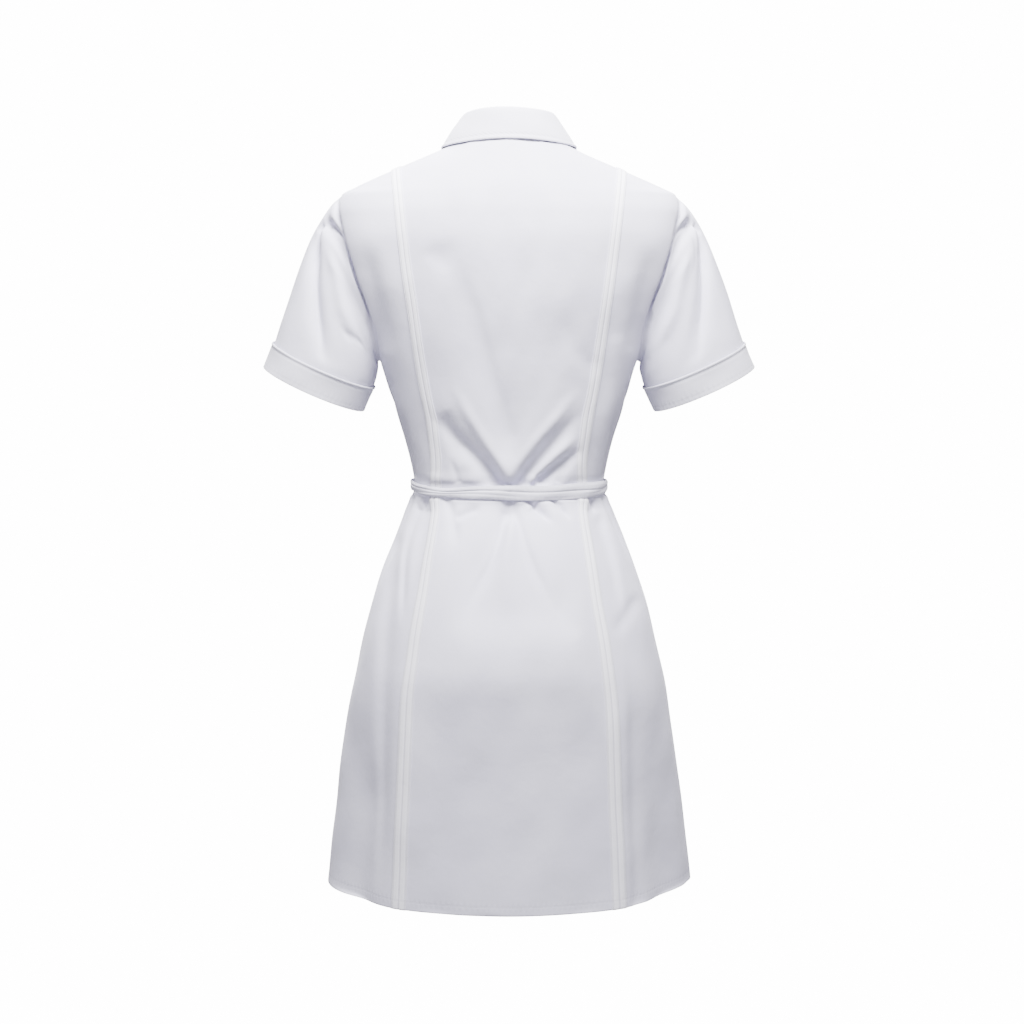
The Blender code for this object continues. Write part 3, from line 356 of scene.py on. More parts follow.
# Distance from the armhole, and reach
ARMHOLE_TUCK_LINE = (0.0055, 0.0042)
ARMHOLE_TUCK_START = 0.0015

# Collar. The first six say where its fold runs.
COLLAR_HALF_WIDTH = 0.052
COLLAR_BACK = 0.05
COLLAR_FRONT = 0.064
COLLAR_HEIGHT = 0.0375
COLLAR_SIDE_DROP = 0.003
COLLAR_FRONT_DROP = 0.078
COLLAR_CENTRE_SHIFT = 0.004
STAND_HOLLOW = 0.001
LEAF_CLEAR = 0.0016
LEAF_FORM = 0.0013
LEAF_SWELL = 0.0005
LEAF_BROW = 0.13
# The roll over the fold. Columns: step away, rise, share of the way to the leaf's edge
LEAF_ROLL = (
    (-0.0012, 0.0023, 0.0),
    (0.0008, 0.0027, 0.04),
    (0.0026, 0.0016, 0.08),
    (0.0036, -0.001, LEAF_BROW),
)
LEAF_ROWS = np.concatenate([np.linspace(0.0, LEAF_BROW, 9)[:-1], np.linspace(LEAF_BROW, 0.95, 20),
                            [0.965, 0.978, 0.988, 0.995, 1.0]])
LEAF_WAVE, LEAF_WAVE_RATE, LEAF_WAVE_START = 0.0004, 60, 0.02
# Columns: height, distance from the edge, reach
LEAF_RIDGE = (0.0004, 0.0015, 0.0015)
LEAF_GROOVE = (-0.0004, 0.0048, 0.001)
LEAF_BACK_HEIGHT = 0.0025
LEAF_SIDE_HEIGHT = -0.0045
LEAF_CONTROL = (0.086, -0.046)
LEAF_POINT = (0.045, -0.104)
LEAF_CROWDING = 1.4
COLLAR_FRONT_GAP = 0.0015
NECK_BACK_STEPS = 110
NECK_FRONT_STEPS = 72
NECK_END_STEPS = 8
STAND_STEPS = 14

# Bands. The columns are shares of half a band's width, and the form is its height over the panel.
BAND_COLUMNS = (-1.0, -0.96, -0.88, -0.8, -0.72, -0.62, -0.44, -0.26, -0.12, -0.05,
                0.05, 0.12, 0.26, 0.44, 0.62, 0.72, 0.8, 0.88, 0.96, 1.0)
BAND_HALF = 0.00725
BAND_STITCH = 0.8
BAND_GROOVE = -0.0005
BAND_GROOVE_REACH = 0.07
BAND_EDGE_FORM, BAND_EDGE_ROUND = 0.35, 0.14
FRONT_BAND_HALF = 0.0155
FRONT_BAND_COLUMNS = (-1.0, -0.98, -0.94, -0.9, -0.86, -0.81, -0.76, -0.66, -0.5, -0.33, -0.17,
                      0.0, 0.17, 0.33, 0.5, 0.66, 0.76, 0.81, 0.86, 0.9, 0.94, 0.98, 1.0)
FRONT_BAND_STITCH = 0.81

# Belt. The heights of its middle and half its width, which the bodice covers a little at the left back.
# Columns: angle in degrees, height of the middle, half the width
BELT_EDGES = (
    (-200.0, -0.401, 0.0085),
    (-180.0, -0.4015, 0.0086),
    (-140.0, -0.3996, 0.0074),
    (-110.0, -0.3978, 0.0062),
    (-87.0, -0.3974, 0.006),
    (-70.0, -0.3988, 0.0078),
    (-51.0, -0.3992, 0.0086),
    (-27.0, -0.401, 0.0083),
    (-4.0, -0.4012, 0.0082),
    (19.6, -0.4014, 0.007),
    (40.0, -0.4022, 0.0052),
    (60.0, -0.4002, 0.0056),
    (81.0, -0.396, 0.0055),
    (100.0, -0.397, 0.006),
    (140.0, -0.3996, 0.0074),
    (200.0, -0.4015, 0.0086),
)
BELT_CLEAR = 0.0026
BELT_FORM = 0.0018
BELT_LEAN = 0.0005
BELT_OVER_BAND_RISE = 0.0008
# Degrees from the centre back, and reach
BELT_OVER_SEAM_BAND = (48.2, 7.0)
BELT_OVER_FRONT_BAND = (180.0, 10.0)
BELT_UNDER_END = 194.0
BELT_OVER_END = -199.0
BELT_STEPS = 620
BELT_LAP_START = -150.0
BELT_LAP_RISE = 15.0
BELT_TIP = 5.0
BELT_TIP_SHARE = 0.25
BELT_COLUMNS = (-1.0, -0.97, -0.9, -0.78, -0.62, -0.46, -0.34, -0.24, -0.12, 0.02, 0.12, 0.22, 0.34, 0.5,
                0.66, 0.8, 0.91, 0.97, 1.0)
BELT_EDGE_FORM, BELT_EDGE_ROUND = 0.6, 0.3
BELT_CROWN, BELT_WAVE = 0.0004, 0.0003
# Columns: size, waves round the body, phase
BELT_MIDDLE_WAVES = ((0.0003, 3, 0.7), (0.0002, 8, 0.0))
# The belt's two long folds, with places and reaches as shares of half its width.
# Columns: height, place, waves of the place, reach
BELT_FOLDS = (
    (-0.0008, 0.16, ((0.16, 2, 0.4), (0.06, 7, 0.0)), 0.09),
    (-0.0004, -0.45, ((0.3, 3, 0.0),), 0.12),
)

# Buttons, their threads and the corded buttonholes. The profile is in shares of radius and thickness.
BUTTON_RADIUS = 0.0075
BUTTON_THICK = 0.003
BUTTON_SIDES = 64
BUTTON_PROFILE = ((0.0, 0.02), (0.8, 0.0), (0.93, 0.1), (0.99, 0.3), (1.0, 0.52), (0.985, 0.74), (0.94, 0.9),
                  (0.86, 0.985), (0.78, 0.96), (0.72, 0.84), (0.66, 0.76), (0.4, 0.72), (0.0, 0.72))
BUTTON_HEIGHTS = (-0.092, -0.176, -0.26, -0.344, -0.46, -0.544, -0.628, -0.712)
BUTTON_HOLE_RADIUS = 0.0009
BUTTON_HOLE_SPREAD = 0.0016
BUTTON_HOLE_ENDS = (-0.001, 0.005)
BUTTON_FACE = 0.74
BUTTON_TILT = 0.1
BUTTON_OVER_BAND = SEAM_GAP + DOUBLED_CLOTH + 0.0002
BUTTON_OVER_BELT = BELT_CLEAR + 2 * BELT_FORM + 2 * SEAM_GAP
THREAD_RADIUS = 0.00042
THREAD_APART = 0.00035
THREAD_DIVE = 0.0016
BUTTONHOLE_HALF = 0.009
BUTTONHOLE_WIDTH = 0.003
BUTTONHOLE_DROP = 0.002
BUTTONHOLE_RISE = 0.0002 - SEAM_GAP
BUTTONHOLE_CORD = 0.0006

# Looks. Reliefs are heights in metres, and pairs of reaches say where a groove starts and stops fading.
TWILL_PITCH, TWILL_THREADS = 0.001, 2.3
TWILL_RIB, TWILL_THREAD = 0.00001, 0.000004
CRUMPLE, SLUB = 0.00055, 0.00002
STITCH_PITCH, STITCH_HALF, STITCH_RISE = 0.0026, 0.00035, 0.00008
PUCKER, PUCKER_PITCH, PUCKER_WANDER, PUCKER_REACH = 0.00009, 0.0062, 14.0, (0.001, 0.006)
# The *_SHADOW numbers say how far the colour is pulled towards painted shade in the hem's stitch groove, the
# bands' stitch grooves, a band's middle groove and beside the seams
HEM_GROOVE, HEM_GROOVE_DEPTH, HEM_SHADOW = (0.0003, 0.0016), 0.00009, 0.12
EDGE_GROOVE, EDGE_GROOVE_DEPTH, EDGE_SHADOW = (0.0003, 0.0013), 0.00012, 0.48
MIDDLE_GROOVE, MIDDLE_GROOVE_DEPTH, MIDDLE_SHADOW = (0.0003, 0.0011), 0.0002, 0.6
SEAM_SHADOW_REACH, SEAM_SHADOW = (0.0002, 0.0011), 0.6
RESIN_GRAIN, THREAD_GRAIN = 0.00001, 0.00006
# How far lines of stitches lie from their edges
HEM_STITCHES = 0.01
BAND_EDGE_STITCHES = 0.0014
FRONT_BAND_EDGE_STITCHES = 0.0029
COLLAR_STITCHES = 0.0048
BELT_STITCHES = 0.0016
# Colours of the cloth: plain, a darker tone that noise mixes in at random, and the painted shade that
# darkens its seams and stitch grooves
CLOTH_COLOURS = ((0.712, 0.7, 0.828, 1.0), (0.668, 0.655, 0.79, 1.0), (0.56, 0.55, 0.65, 1.0))
TRIM_COLOURS = ((0.755, 0.745, 0.855, 1.0), (0.712, 0.701, 0.815, 1.0), (0.58, 0.57, 0.67, 1.0))
BAND_COLOURS = ((0.93, 0.918, 0.995, 1.0), (0.9, 0.888, 0.975, 1.0), (0.58, 0.57, 0.67, 1.0))
RESIN_COLOURS = ((0.62, 0.61, 0.6, 1.0), (0.55, 0.54, 0.54, 1.0))
THREAD_COLOURS = ((0.78, 0.78, 0.8, 1.0), (0.88, 0.88, 0.9, 1.0))
STUDIO_COLOUR = (0.3, 0.3, 0.3, 1.0)
DARK, LIT = (0.0, 0.0, 0.0, 1.0), (1.0, 1.0, 1.0, 1.0)

# The photograph's camera, and the studio
CAMERA_PLACE = (-0.0035, 2.5, -0.22356)
CAMERA_DOWN = math.radians(4.6987)
CAMERA_LENS = 74.43
SENSOR = 36.0
FLOOR = -1.9
WALL_DISTANCE = 7.0
WALL_TOP = 3.0
FLOOR_CURVE = 1.2
WALL_GLOW = 15.0
WALL_LIT_FROM = (1.9, 2.5)
WALL_LIT_NARROWING = 0.245
WALL_LIT_EDGE = (0.03, 0.6)
WALL_LIT_TOP = (1.35, 1.9)
PALE_GLOW = 1.7
PALE_FROM = (0.4, 3.0)
WORLD_LIGHT = 0.6
WORLD_COLOUR = (0.94, 0.93, 1.0, 1.0)
# Columns: name, place, what it points at, width and height, power, colour
LIGHTS = (
    ("top_softbox", (-0.02, 0.62, 0.82), (0.0, 0.0, -0.4), (0.66, 0.42), 106.0, (1.0, 0.998, 0.992)),
    ("near_fill", (-0.3, 3.6, 0.6), (0.0, 0.0, -0.4), (1.8, 1.4), 12.0, (0.97, 0.975, 1.0)),
    ("far_softbox", (0.1, -0.75, 0.85), (0.0, 0.0, -0.4), (0.66, 0.42), 66.0, (1.0, 0.998, 0.992)),
)


def table_column(table, column, places):
    """A smooth curve through one column of a table, which never swings past its rows."""
    x = np.array([row[0] for row in table], float)
    y = np.array([row[column] for row in table], float)
    step = np.diff(x)
    slope = np.diff(y) / step
    left, right = slope[:-1], slope[1:]
    first, second = 2 * step[1:] + step[:-1], step[1:] + 2 * step[:-1]
    same_way = left * right > 0
    safe_left, safe_right = np.where(same_way, left, 1.0), np.where(same_way, right, 1.0)
    middle = np.where(same_way, (first + second) / (first / safe_left + second / safe_right), 0.0)
    tangent = np.concatenate([slope[:1], middle, slope[-1:]])
    h = np.clip(np.asarray(places, float), x[0], x[-1])
    i = np.clip(np.searchsorted(x, h) - 1, 0, len(x) - 2)
    t = (h - x[i]) / step[i]
    return (
        (1 + 2 * t) * (1 - t) ** 2 * y[i]
        + t * (1 - t) ** 2 * step[i] * tangent[i]
        + t**2 * (3 - 2 * t) * y[i + 1]
        + t**2 * (t - 1) * step[i] * tangent[i + 1]
    )


def section(heights):
    return [table_column(SECTIONS, column, heights) for column in range(1, len(SECTIONS[0]))]


def smooth_step(t):
    t = np.clip(t, 0.0, 1.0)
    return t * t * (3 - 2 * t)


def unit(vectors):
    vectors = np.asarray(vectors, float)
    return vectors / np.maximum(np.linalg.norm(vectors, axis=-1, keepdims=True), 1e-12)


def ridge(places, height, middle, reach):
    """A soft ridge of this height along a line, or a groove where the height is negative."""
    return height * np.exp(-(((places - middle) / reach) ** 2))


def waves(turn, table):
    """The sum of some waves. Columns: size, waves in a turn, phase"""
    return sum(size * np.sin(count * turn + phase) for size, count, phase in table)


def smooth_body(net):
    """Points of the body's surface without folds, at places given as (angle, height)."""
    angle, height = net[..., 0], net[..., 1]
    half_width, back, front, square = section(height)
    across, along = np.sin(angle), np.cos(angle)
    round_off = (np.abs(across) ** square + np.abs(along) ** square) ** (-1 / square)
    depth = np.where(along > 0, back, front)
    hem_rise = np.where(across > 0, HEM_RISE_LEFT, HEM_RISE_RIGHT) * across**2
    level = height + hem_rise * smooth_step((HEM_RISE_START - height) / (HEM_RISE_START - HEM))
    return np.stack([half_width * across * round_off, depth * along * round_off, level], axis=-1)


def out_of_body(net, step=0.0002):
    """Outward directions of the smooth body, from its slopes."""
    turn, rise = np.array((step, 0.0)), np.array((0.0, step))
    up = smooth_body(net + rise) - smooth_body(net - rise)
    round_the_body = smooth_body(net + turn) - smooth_body(net - turn)
    return unit(np.cross(up, round_the_body))


def straight_fold(x, y, start, end, reach, height, fades):
    """The shift that one fold gives to places x, y. Its fades say how far past its ends, in and out."""
    past, fade_in, fade_out = fades
    run_x, run_y = end[0] - start[0], end[1] - start[1]
    length = math.hypot(run_x, run_y)
    along = ((x - start[0]) * run_x + (y - start[1]) * run_y) / length**2
    aside = ((x - start[0]) * run_y - (y - start[1]) * run_x) / length
    fade = smooth_step((along + past) / fade_in) * smooth_step((1 + past - along) / fade_out)
    return fade * ridge(aside, height, 0.0, reach)


def fold_shift(points):
    """How far the largest folds move points of the body out."""
    x, y, z = points[..., 0], points[..., 1], points[..., 2]
    total = np.zeros(x.shape)
    for face, *numbers in FOLDS:
        x_deep, z_deep, x_soft, z_soft, reach, height = (number * MM for number in numbers)
        shift = straight_fold(x, z, (x_deep, z_deep), (x_soft, z_soft), reach, height, FOLD_FADES)
        total += np.where(y > 0 if face == BACK else y < 0, shift, 0.0)
    clear = np.where(total > 0, FOLD_CLEAR_OF_BELT, TROUGH_CLEAR_OF_BELT)
    clear_of_belt = smooth_step((np.abs(z - WAIST) - clear) / FOLD_BELT_FADE)
    return total * clear_of_belt * smooth_step(np.abs(y) / FOLD_SIDE_FADE)


def rounded_line(points, steps=8):
    """A smooth line through points."""
    padded = np.concatenate([2 * points[:1] - points[1:2], points, 2 * points[-1:] - points[-2:-1]])
    a, b, c, d = padded[:-3, None], padded[1:-2, None], padded[2:-1, None], padded[3:, None]
    t = (np.arange(steps) / steps)[:, None]
    line = 0.5 * (2 * b + (c - a) * t + (2 * a - 5 * b + 4 * c - d) * t**2 + (3 * b - a - 3 * c + d) * t**3)
    return np.concatenate([line.reshape(-1, 2), points[-1:]])


def crease(x, y, reach, height, lean, fade_in, fade_out, points):
    """The shift that one crease gives to places x, y of a flat drawing of the cloth."""
    line = rounded_line(points)
    steps = np.linalg.norm(np.diff(line, axis=0), axis=1)
    starts = np.concatenate([[0.0], np.cumsum(steps)])
    low, high = line.min(axis=0) - 4 * reach, line.max(axis=0) + 4 * reach
    near = (x > low[0]) & (x < high[0]) & (y > low[1]) & (y < high[1])
    shift = np.zeros(x.shape)
    px, py = x[near], y[near]
    best = np.full(px.shape, 1e9)
    along, side = np.zeros(px.shape), np.zeros(px.shape)
    for (ax, ay), (bx, by), start, size in zip(line[:-1], line[1:], starts, steps):
        ux, uy = (bx - ax) / size, (by - ay) / size
        t = (px - ax) * ux + (py - ay) * uy
        held = np.clip(t, 0.0, size)
        gap = np.hypot(px - ax - held * ux, py - ay - held * uy)
        closer = gap < best
        best = np.where(closer, gap, best)
        along = np.where(closer, (start + t) / starts[-1], along)
        side = np.where(closer, (px - ax) * uy - (py - ay) * ux, side)
    width = reach * (1 + lean * np.tanh(side / reach))
    fade = smooth_step(along / fade_in + 0.5) * smooth_step((1 - along) / fade_out + 0.1)
    shift[near] = fade * ridge(best, height, 0.0, width)
    return shift


def crease_shift(points):
    """How far all the creases and the cloth's unevenness move points of the body out."""
    x, y, z = points[..., 0], points[..., 1], points[..., 2]
    views = {BACK: (x, y), FRONT: (x, -y), LEFT: (y, x), RIGHT: (y, -x)}
    total = np.zeros(x.shape)
    for face, reach, height, lean, fade_in, fade_out, *line in CREASES:
        sideways, towards = views[face]
        line = np.reshape(line, (-1, 2)) * MM
        shift = crease(sideways, z, reach * MM, height * MM, lean, fade_in, fade_out, line)
        total += shift * smooth_step(towards / CREASE_FACE_FADE)
    turn = np.arctan2(x, y)
    for turns, rate, phase, size in DRIFT:
        total += size * np.sin(turns * turn + 2 * math.pi * rate * z + phase)
    near_belt = smooth_step((np.abs(z - WAIST) - BELT_HALF_COVER) / BELT_COVER_FADE)
    return np.where(total > 0, total * near_belt, total) + ridge(z, *UNDER_BELT_SWELL)


def cloth_surface(net):
    """Points of the creased cloth of the body."""
    base = smooth_body(net)
    return base + (fold_shift(base) + crease_shift(base))[..., None] * out_of_body(net)


def angle_at(across, height):
    half_width, _, _, square = section(height)
    share = np.clip(np.abs(across) / half_width, 0.0, 1.0) ** square
    return np.arctan2(share ** (1 / square), np.maximum(1 - share, 0.0) ** (1 / square))


def height_on_shoulder(across):
    low, high = SHOULDER_TIP, BACK_NECK_RISE
    for _ in range(40):
        middle = (low + high) / 2
        if section(middle)[0] > across:
            low = middle
        else:
            high = middle
    return low


def row_shares(shares):
    """The part's shares of the way up the yoke, at the fine rows."""
    table = [(row / YOKE_ROWS, share) for row, share in enumerate(shares)]
    return table_column(table, 1, YOKE_SHARES)


def back_line(share_of_band):
    """A line beside a long back seam: 0 is the seam, -1 and 1 are the band's two edges."""
    top = height_on_shoulder(BACK_SEAM[-1][1] + share_of_band * BACK_SEAM[-1][2] / 2)
    heights = np.concatenate([LOW_ROWS, UNDERARM + (top - UNDERARM) * row_shares(BACK_ROW_SHARES)])
    across = table_column(BACK_SEAM, 1, heights) + share_of_band * table_column(BACK_SEAM, 2, heights) / 2
    angles = angle_at(across, heights)
    angles[-1] = math.pi / 2
    return np.stack([angles, heights], axis=1)


def armhole(around):
    """(angle, height) on the left armhole: 0 at the shoulder, 90 degrees at the back, 180 under the arm."""
    middle, half = (SHOULDER_TIP + UNDERARM) / 2, (SHOULDER_TIP - UNDERARM) / 2
    reach = np.where(np.sin(around) > 0, -ARMHOLE_BACK, ARMHOLE_FRONT)
    fullness = np.where(np.cos(around) > 0, ARMHOLE_TOP_FULLNESS, ARMHOLE_FOOT_FULLNESS)
    spread = np.abs(np.sin(around))
    spread = np.where(spread < 1e-9, 0.0, spread**fullness)
    return np.stack([math.pi / 2 + reach * spread, middle + half * np.cos(around)], axis=-1)


def side_line(way):
    """The side seam and, above it, the back or the front of the armhole: 1 is the back, -1 the front."""
    low = np.stack([np.full(len(LOW_ROWS), math.pi / 2), LOW_ROWS], axis=1)
    return np.concatenate([low, armhole(way * math.pi * (1 - YOKE_SHARES))])


def front_neck_height(across):
    return -FRONT_NECK_DROP * math.sqrt(1 - (across / NECK_HALF_WIDTH) ** 2)


def front_line(across):
    """A line on the front, this far from the centre line."""
    rise = (front_neck_height(across) - UNDERARM) * row_shares(FRONT_ROW_SHARES)
    heights = np.concatenate([LOW_ROWS, UNDERARM + rise])
    return np.stack([math.pi - angle_at(across, heights), heights], axis=1)


def front_band_line(share):
    """A line along the front band: -1 and 1 are its edges."""
    line = front_line(abs(share) * FRONT_BAND_HALF)
    return line if share >= 0 else mirror_net(line) + np.array((2 * math.pi, 0.0))


def back_neck(count):
    angle = np.linspace(math.pi / 2, -math.pi / 2, count + 1)
    return np.stack([angle, BACK_NECK_RISE * np.cos(angle) ** 2], axis=1)


def front_neck(count, start_across):
    first = math.sqrt(math.acos(start_across / NECK_HALF_WIDTH) / (math.pi / 2))
    turn = math.pi / 2 * np.linspace(first, 0.0, count + 1) ** 2
    across, height = NECK_HALF_WIDTH * np.cos(turn), -FRONT_NECK_DROP * np.sin(turn)
    angle = math.pi - angle_at(across, height)
    angle[-1] = math.pi / 2
    return np.stack([angle, height], axis=1)


def shoulder(start, end, count):
    return np.stack([np.full(count + 1, math.pi / 2), np.linspace(start, end, count + 1)], axis=1)


def mirror_net(net):
    return net * np.array((-1.0, 1.0))


def both_sides(net):
    return ("left", net), ("right", mirror_net(net))


def net_of(line, shares):
    """A net whose columns are the lines that a function gives."""
    return np.stack([line(share) for share in shares], axis=1)


def spaced(count):
    """Shares of the way across a panel, closer together beside its seams."""
    return np.concatenate([SEAM_SIDE_SHARES, np.linspace(0.03, 0.97, count), SIDE_SEAM_SHARES])


def ruled(first, last, top, shares):
    """A net of (angle, height) between two lines, which takes up the top edge's shape over the yoke."""
    places = np.linspace(0, 1, len(top))
    top = np.stack([np.interp(shares, places, top[:, k]) for k in range(2)], axis=1)
    share = shares[None, :, None]
    net = first[:, None, :] * (1 - share) + last[:, None, :] * share
    lift = np.concatenate([np.zeros(len(LOW_ROWS)), YOKE_SHARES**2])[:, None, None]
    straight_top = first[-1] * (1 - share[0]) + last[-1] * share[0]
    return net + lift * (top - straight_top)[None]


def steps_along(points, axis):
    """How far each point of a net is along its row or column."""
    step = np.linalg.norm(np.diff(points, axis=axis), axis=-1)
    zero = np.zeros_like(np.take(step, [0], axis=axis))
    return np.concatenate([zero, np.cumsum(step, axis=axis)], axis=axis)


def net_facing(points, outward=None):
    """Directions square to a net of points, on the side that outward is on, or out of a ring."""
    if outward is None:
        outward = points - points.mean(axis=1, keepdims=True)
        across = np.roll(points, -1, axis=1) - np.roll(points, 1, axis=1)
    else:
        across = np.gradient(points, axis=1)
    out = unit(np.cross(np.gradient(points, axis=0), across))
    return out * np.sign(np.sum(out * outward, axis=-1).mean())


def rolled_edge(outside, inside, last):
    """The two nets with one more row at the first or last edge, so that the cloth's edge is round."""
    edge, next_in = (-1, -2) if last else (0, 1)
    a, b = outside[edge], inside[edge]
    away = unit(a - outside[next_in]) * EDGE_ROLL * np.linalg.norm(a - b, axis=-1, keepdims=True)
    nets = []
    for net, near, far in ((outside, a, b), (inside, b, a)):
        row = (near * 0.75 + far * 0.25 + away)[None]
        nets.append(np.concatenate([net, row] if last else [row, net]))
    return nets


def link_mesh(name, points, faces, look, sharp=50):
    mesh = bpy.data.meshes.new(name)
    mesh.from_pydata(np.asarray(points).tolist(), [], faces)
    mesh.shade_smooth()
    mesh.set_sharp_from_angle(angle=math.radians(sharp))
    mesh.materials.append(look)
    made = bpy.data.objects.new(name, mesh)
    bpy.context.scene.collection.objects.link(made)
    return made


def cloth_shell(name, outside, inside, look, values, ring=False,
                rolled=(0, 0)):
    """A closed shell between two nets, with values for its material at each point."""
    for last in (0, 1):
        if rolled[last]:
            outside, inside = rolled_edge(outside, inside, last)
    rows, columns = outside.shape[:2]
    inner = rows * columns
    numbers = np.arange(inner).reshape(rows, columns)
    edges = [numbers[:, 0], numbers[::-1, -1]]
    if ring:
        numbers = np.concatenate([numbers, numbers[:, :1]], axis=1)
        edges = []
    corners = numbers[:-1, :-1], numbers[:-1, 1:], numbers[1:, 1:], numbers[1:, :-1]
    outer_faces = np.stack(corners, axis=-1).reshape(-1, 4)
    faces = [outer_faces, outer_faces[:, ::-1] + inner]
    for edge in [numbers[0, ::-1], numbers[-1]] + edges:
        faces.append(np.stack([edge[:-1], edge[1:], edge[1:] + inner, edge[:-1] + inner], axis=1))
    faces = np.concatenate(faces)
    row, column = rows // 2, columns // 4
    quarter = outside[row, column]
    square = np.cross(outside[row, (column + 1) % columns] - quarter, outside[row + 1, column] - quarter)
    if np.dot(square, quarter - inside[row, column]) < 0:
        faces = faces[:, ::-1]
    points = np.concatenate([outside.reshape(-1, 3), inside.reshape(-1, 3)])
    made = link_mesh(name, points, faces.tolist(), look, sharp=62)
    for key, data in zip(VALUE_NAMES, values):
        data = np.pad(data, (rolled, (0, 0)), "edge").ravel()
        attribute = made.data.attributes.new(key, "FLOAT", "POINT")
        attribute.data.foreach_set("value", np.concatenate([data, data]).astype(np.float32))
    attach(made, "root")
    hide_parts(name)


def gap_from(lines, points):
    """How far each point is from the nearest of some lines."""
    shares = np.linspace(0, 1, 6)[:, None, None]
    places = np.concatenate([(line[:-1] + (line[1:] - line[:-1]) * shares).reshape(-1, 3) for line in lines])
    tree = kdtree.KDTree(len(places))
    for number, place in enumerate(places):
        tree.insert(place, number)
    tree.balance()
    return np.array([tree.find(place)[2] for place in points.reshape(-1, 3)]).reshape(points.shape[:-1])


def make_panel(name, net, seams, look):
    outside = cloth_surface(net)
    out = net_facing(outside, out_of_body(net))
    across, up = steps_along(outside, 1), steps_along(outside, 0)
    across = across - across[:, across.shape[1] // 2][:, None]
    edges = {"side": outside[:, -1], "top": outside[-1]}
    seam_gap = gap_from([edges[seam] for seam in seams], outside)
    outside = outside + ridge(seam_gap, *SEAM_DIP)[..., None] * out
    for edge, next_in in ((0, 1), (-1, -2)):
        outside[:, edge] += unit(outside[:, next_in] - outside[:, edge]) * SEAM_GAP / 2
    values = across, up, up, seam_gap
    inside = outside - SINGLE_CLOTH * out
    cloth_shell(name, outside, inside, look, values, rolled=(1, 0))


def make_band(name, net, columns, half_width, stitch, look, middle_groove=False):
    """A stitched strip over a panel. Its columns are shares of its half width."""
    base = cloth_surface(net)
    out = net_facing(base, out_of_body(net))
    share = np.asarray(columns)
    edge = 1 - np.abs(share)
    form = DOUBLED_CLOTH * (BAND_EDGE_FORM + (1 - BAND_EDGE_FORM) * smooth_step(edge / BAND_EDGE_ROUND))
    form = form + ridge(np.abs(share), BAND_GROOVE, stitch, BAND_GROOVE_REACH)
    if middle_groove:
        form = form + ridge(share, BAND_GROOVE, 0.0, BAND_GROOVE_REACH)
    outside = base + (SEAM_GAP + form)[None, :, None] * out
    up = steps_along(base, 0)
    across = np.broadcast_to(share * half_width, up.shape)
    from_edge = np.broadcast_to(edge * half_width, up.shape)
    values = across, up, up, from_edge, np.abs(across)
    cloth_shell(name, outside, base + SEAM_GAP / 2 * out, look, values, rolled=(1, 0))


def make_body(cloth, trim, front_trim):
    inner = back_line(-1)
    left_neck = shoulder(inner[-1, 1], 0.0, SHOULDER_BESIDE_NECK_STEPS)
    right_neck = mirror_net(left_neck[::-1])
    top = np.concatenate([left_neck[:-1], back_neck(BACK_NECK_STEPS), right_neck[1:]])
    middle = ruled(inner, mirror_net(inner), top, np.linspace(0, 1, BACK_CENTRE_COLUMNS + 1))
    under = net_of(back_line, -UNDER_BAND_SHARES)
    back_centre = np.concatenate([under, middle, mirror_net(under)[:, ::-1]], axis=1)
    make_panel("back_centre", back_centre, ("top",), cloth)

    outer = back_line(1)
    top = shoulder(outer[-1, 1], SHOULDER_TIP, SHOULDER_STEPS)
    panel = ruled(outer, side_line(1), top, spaced(BACK_SIDE_COLUMNS))
    for word, net in both_sides(np.concatenate([net_of(back_line, UNDER_BAND_SHARES), panel], axis=1)):
        make_panel(f"back_side_{word}", net, ("side", "top"), cloth)

    neck = front_neck(FRONT_NECK_STEPS, FRONT_BAND_HALF)
    top = np.concatenate([neck[:-1], shoulder(0.0, SHOULDER_TIP, SHOULDER_STEPS)])
    panel = ruled(front_line(FRONT_BAND_HALF), side_line(-1), top, spaced(FRONT_COLUMNS))
    under = net_of(front_line, UNDER_BAND_SHARES * FRONT_BAND_HALF)
    for word, net in both_sides(np.concatenate([under, panel], axis=1)):
        make_panel(f"front_{word}", net, ("side", "top"), cloth)

    for word, net in both_sides(net_of(back_line, BAND_COLUMNS)):
        make_band(f"seam_band_{word}", net, BAND_COLUMNS, BAND_HALF, BAND_STITCH, trim, True)
    make_band("front_band", net_of(front_band_line, FRONT_BAND_COLUMNS), FRONT_BAND_COLUMNS, FRONT_BAND_HALF,
              FRONT_BAND_STITCH, front_trim)


def cuff_ring(side, around, below):
    """The sleeve's end ring, this far below the cuff's top edge, and the sleeve's axis."""
    axis = unit(SLEEVE_AXIS)
    width = unit(np.cross((0.0, 1.0, 0.0), axis))
    width = width * np.sign(width[0])
    depth = unit(np.cross(axis, width))
    depth = depth * np.sign(depth[1])
    across = SLEEVE_HALF_WIDTH * np.cos(around)[:, None] * width
    through = SLEEVE_HALF_DEPTH * np.sin(around)[:, None] * depth
    flip = np.array((side, 1.0, 1.0))
    return (CUFF_TOP_CENTRE + across + through + below * axis) * flip, axis * flip


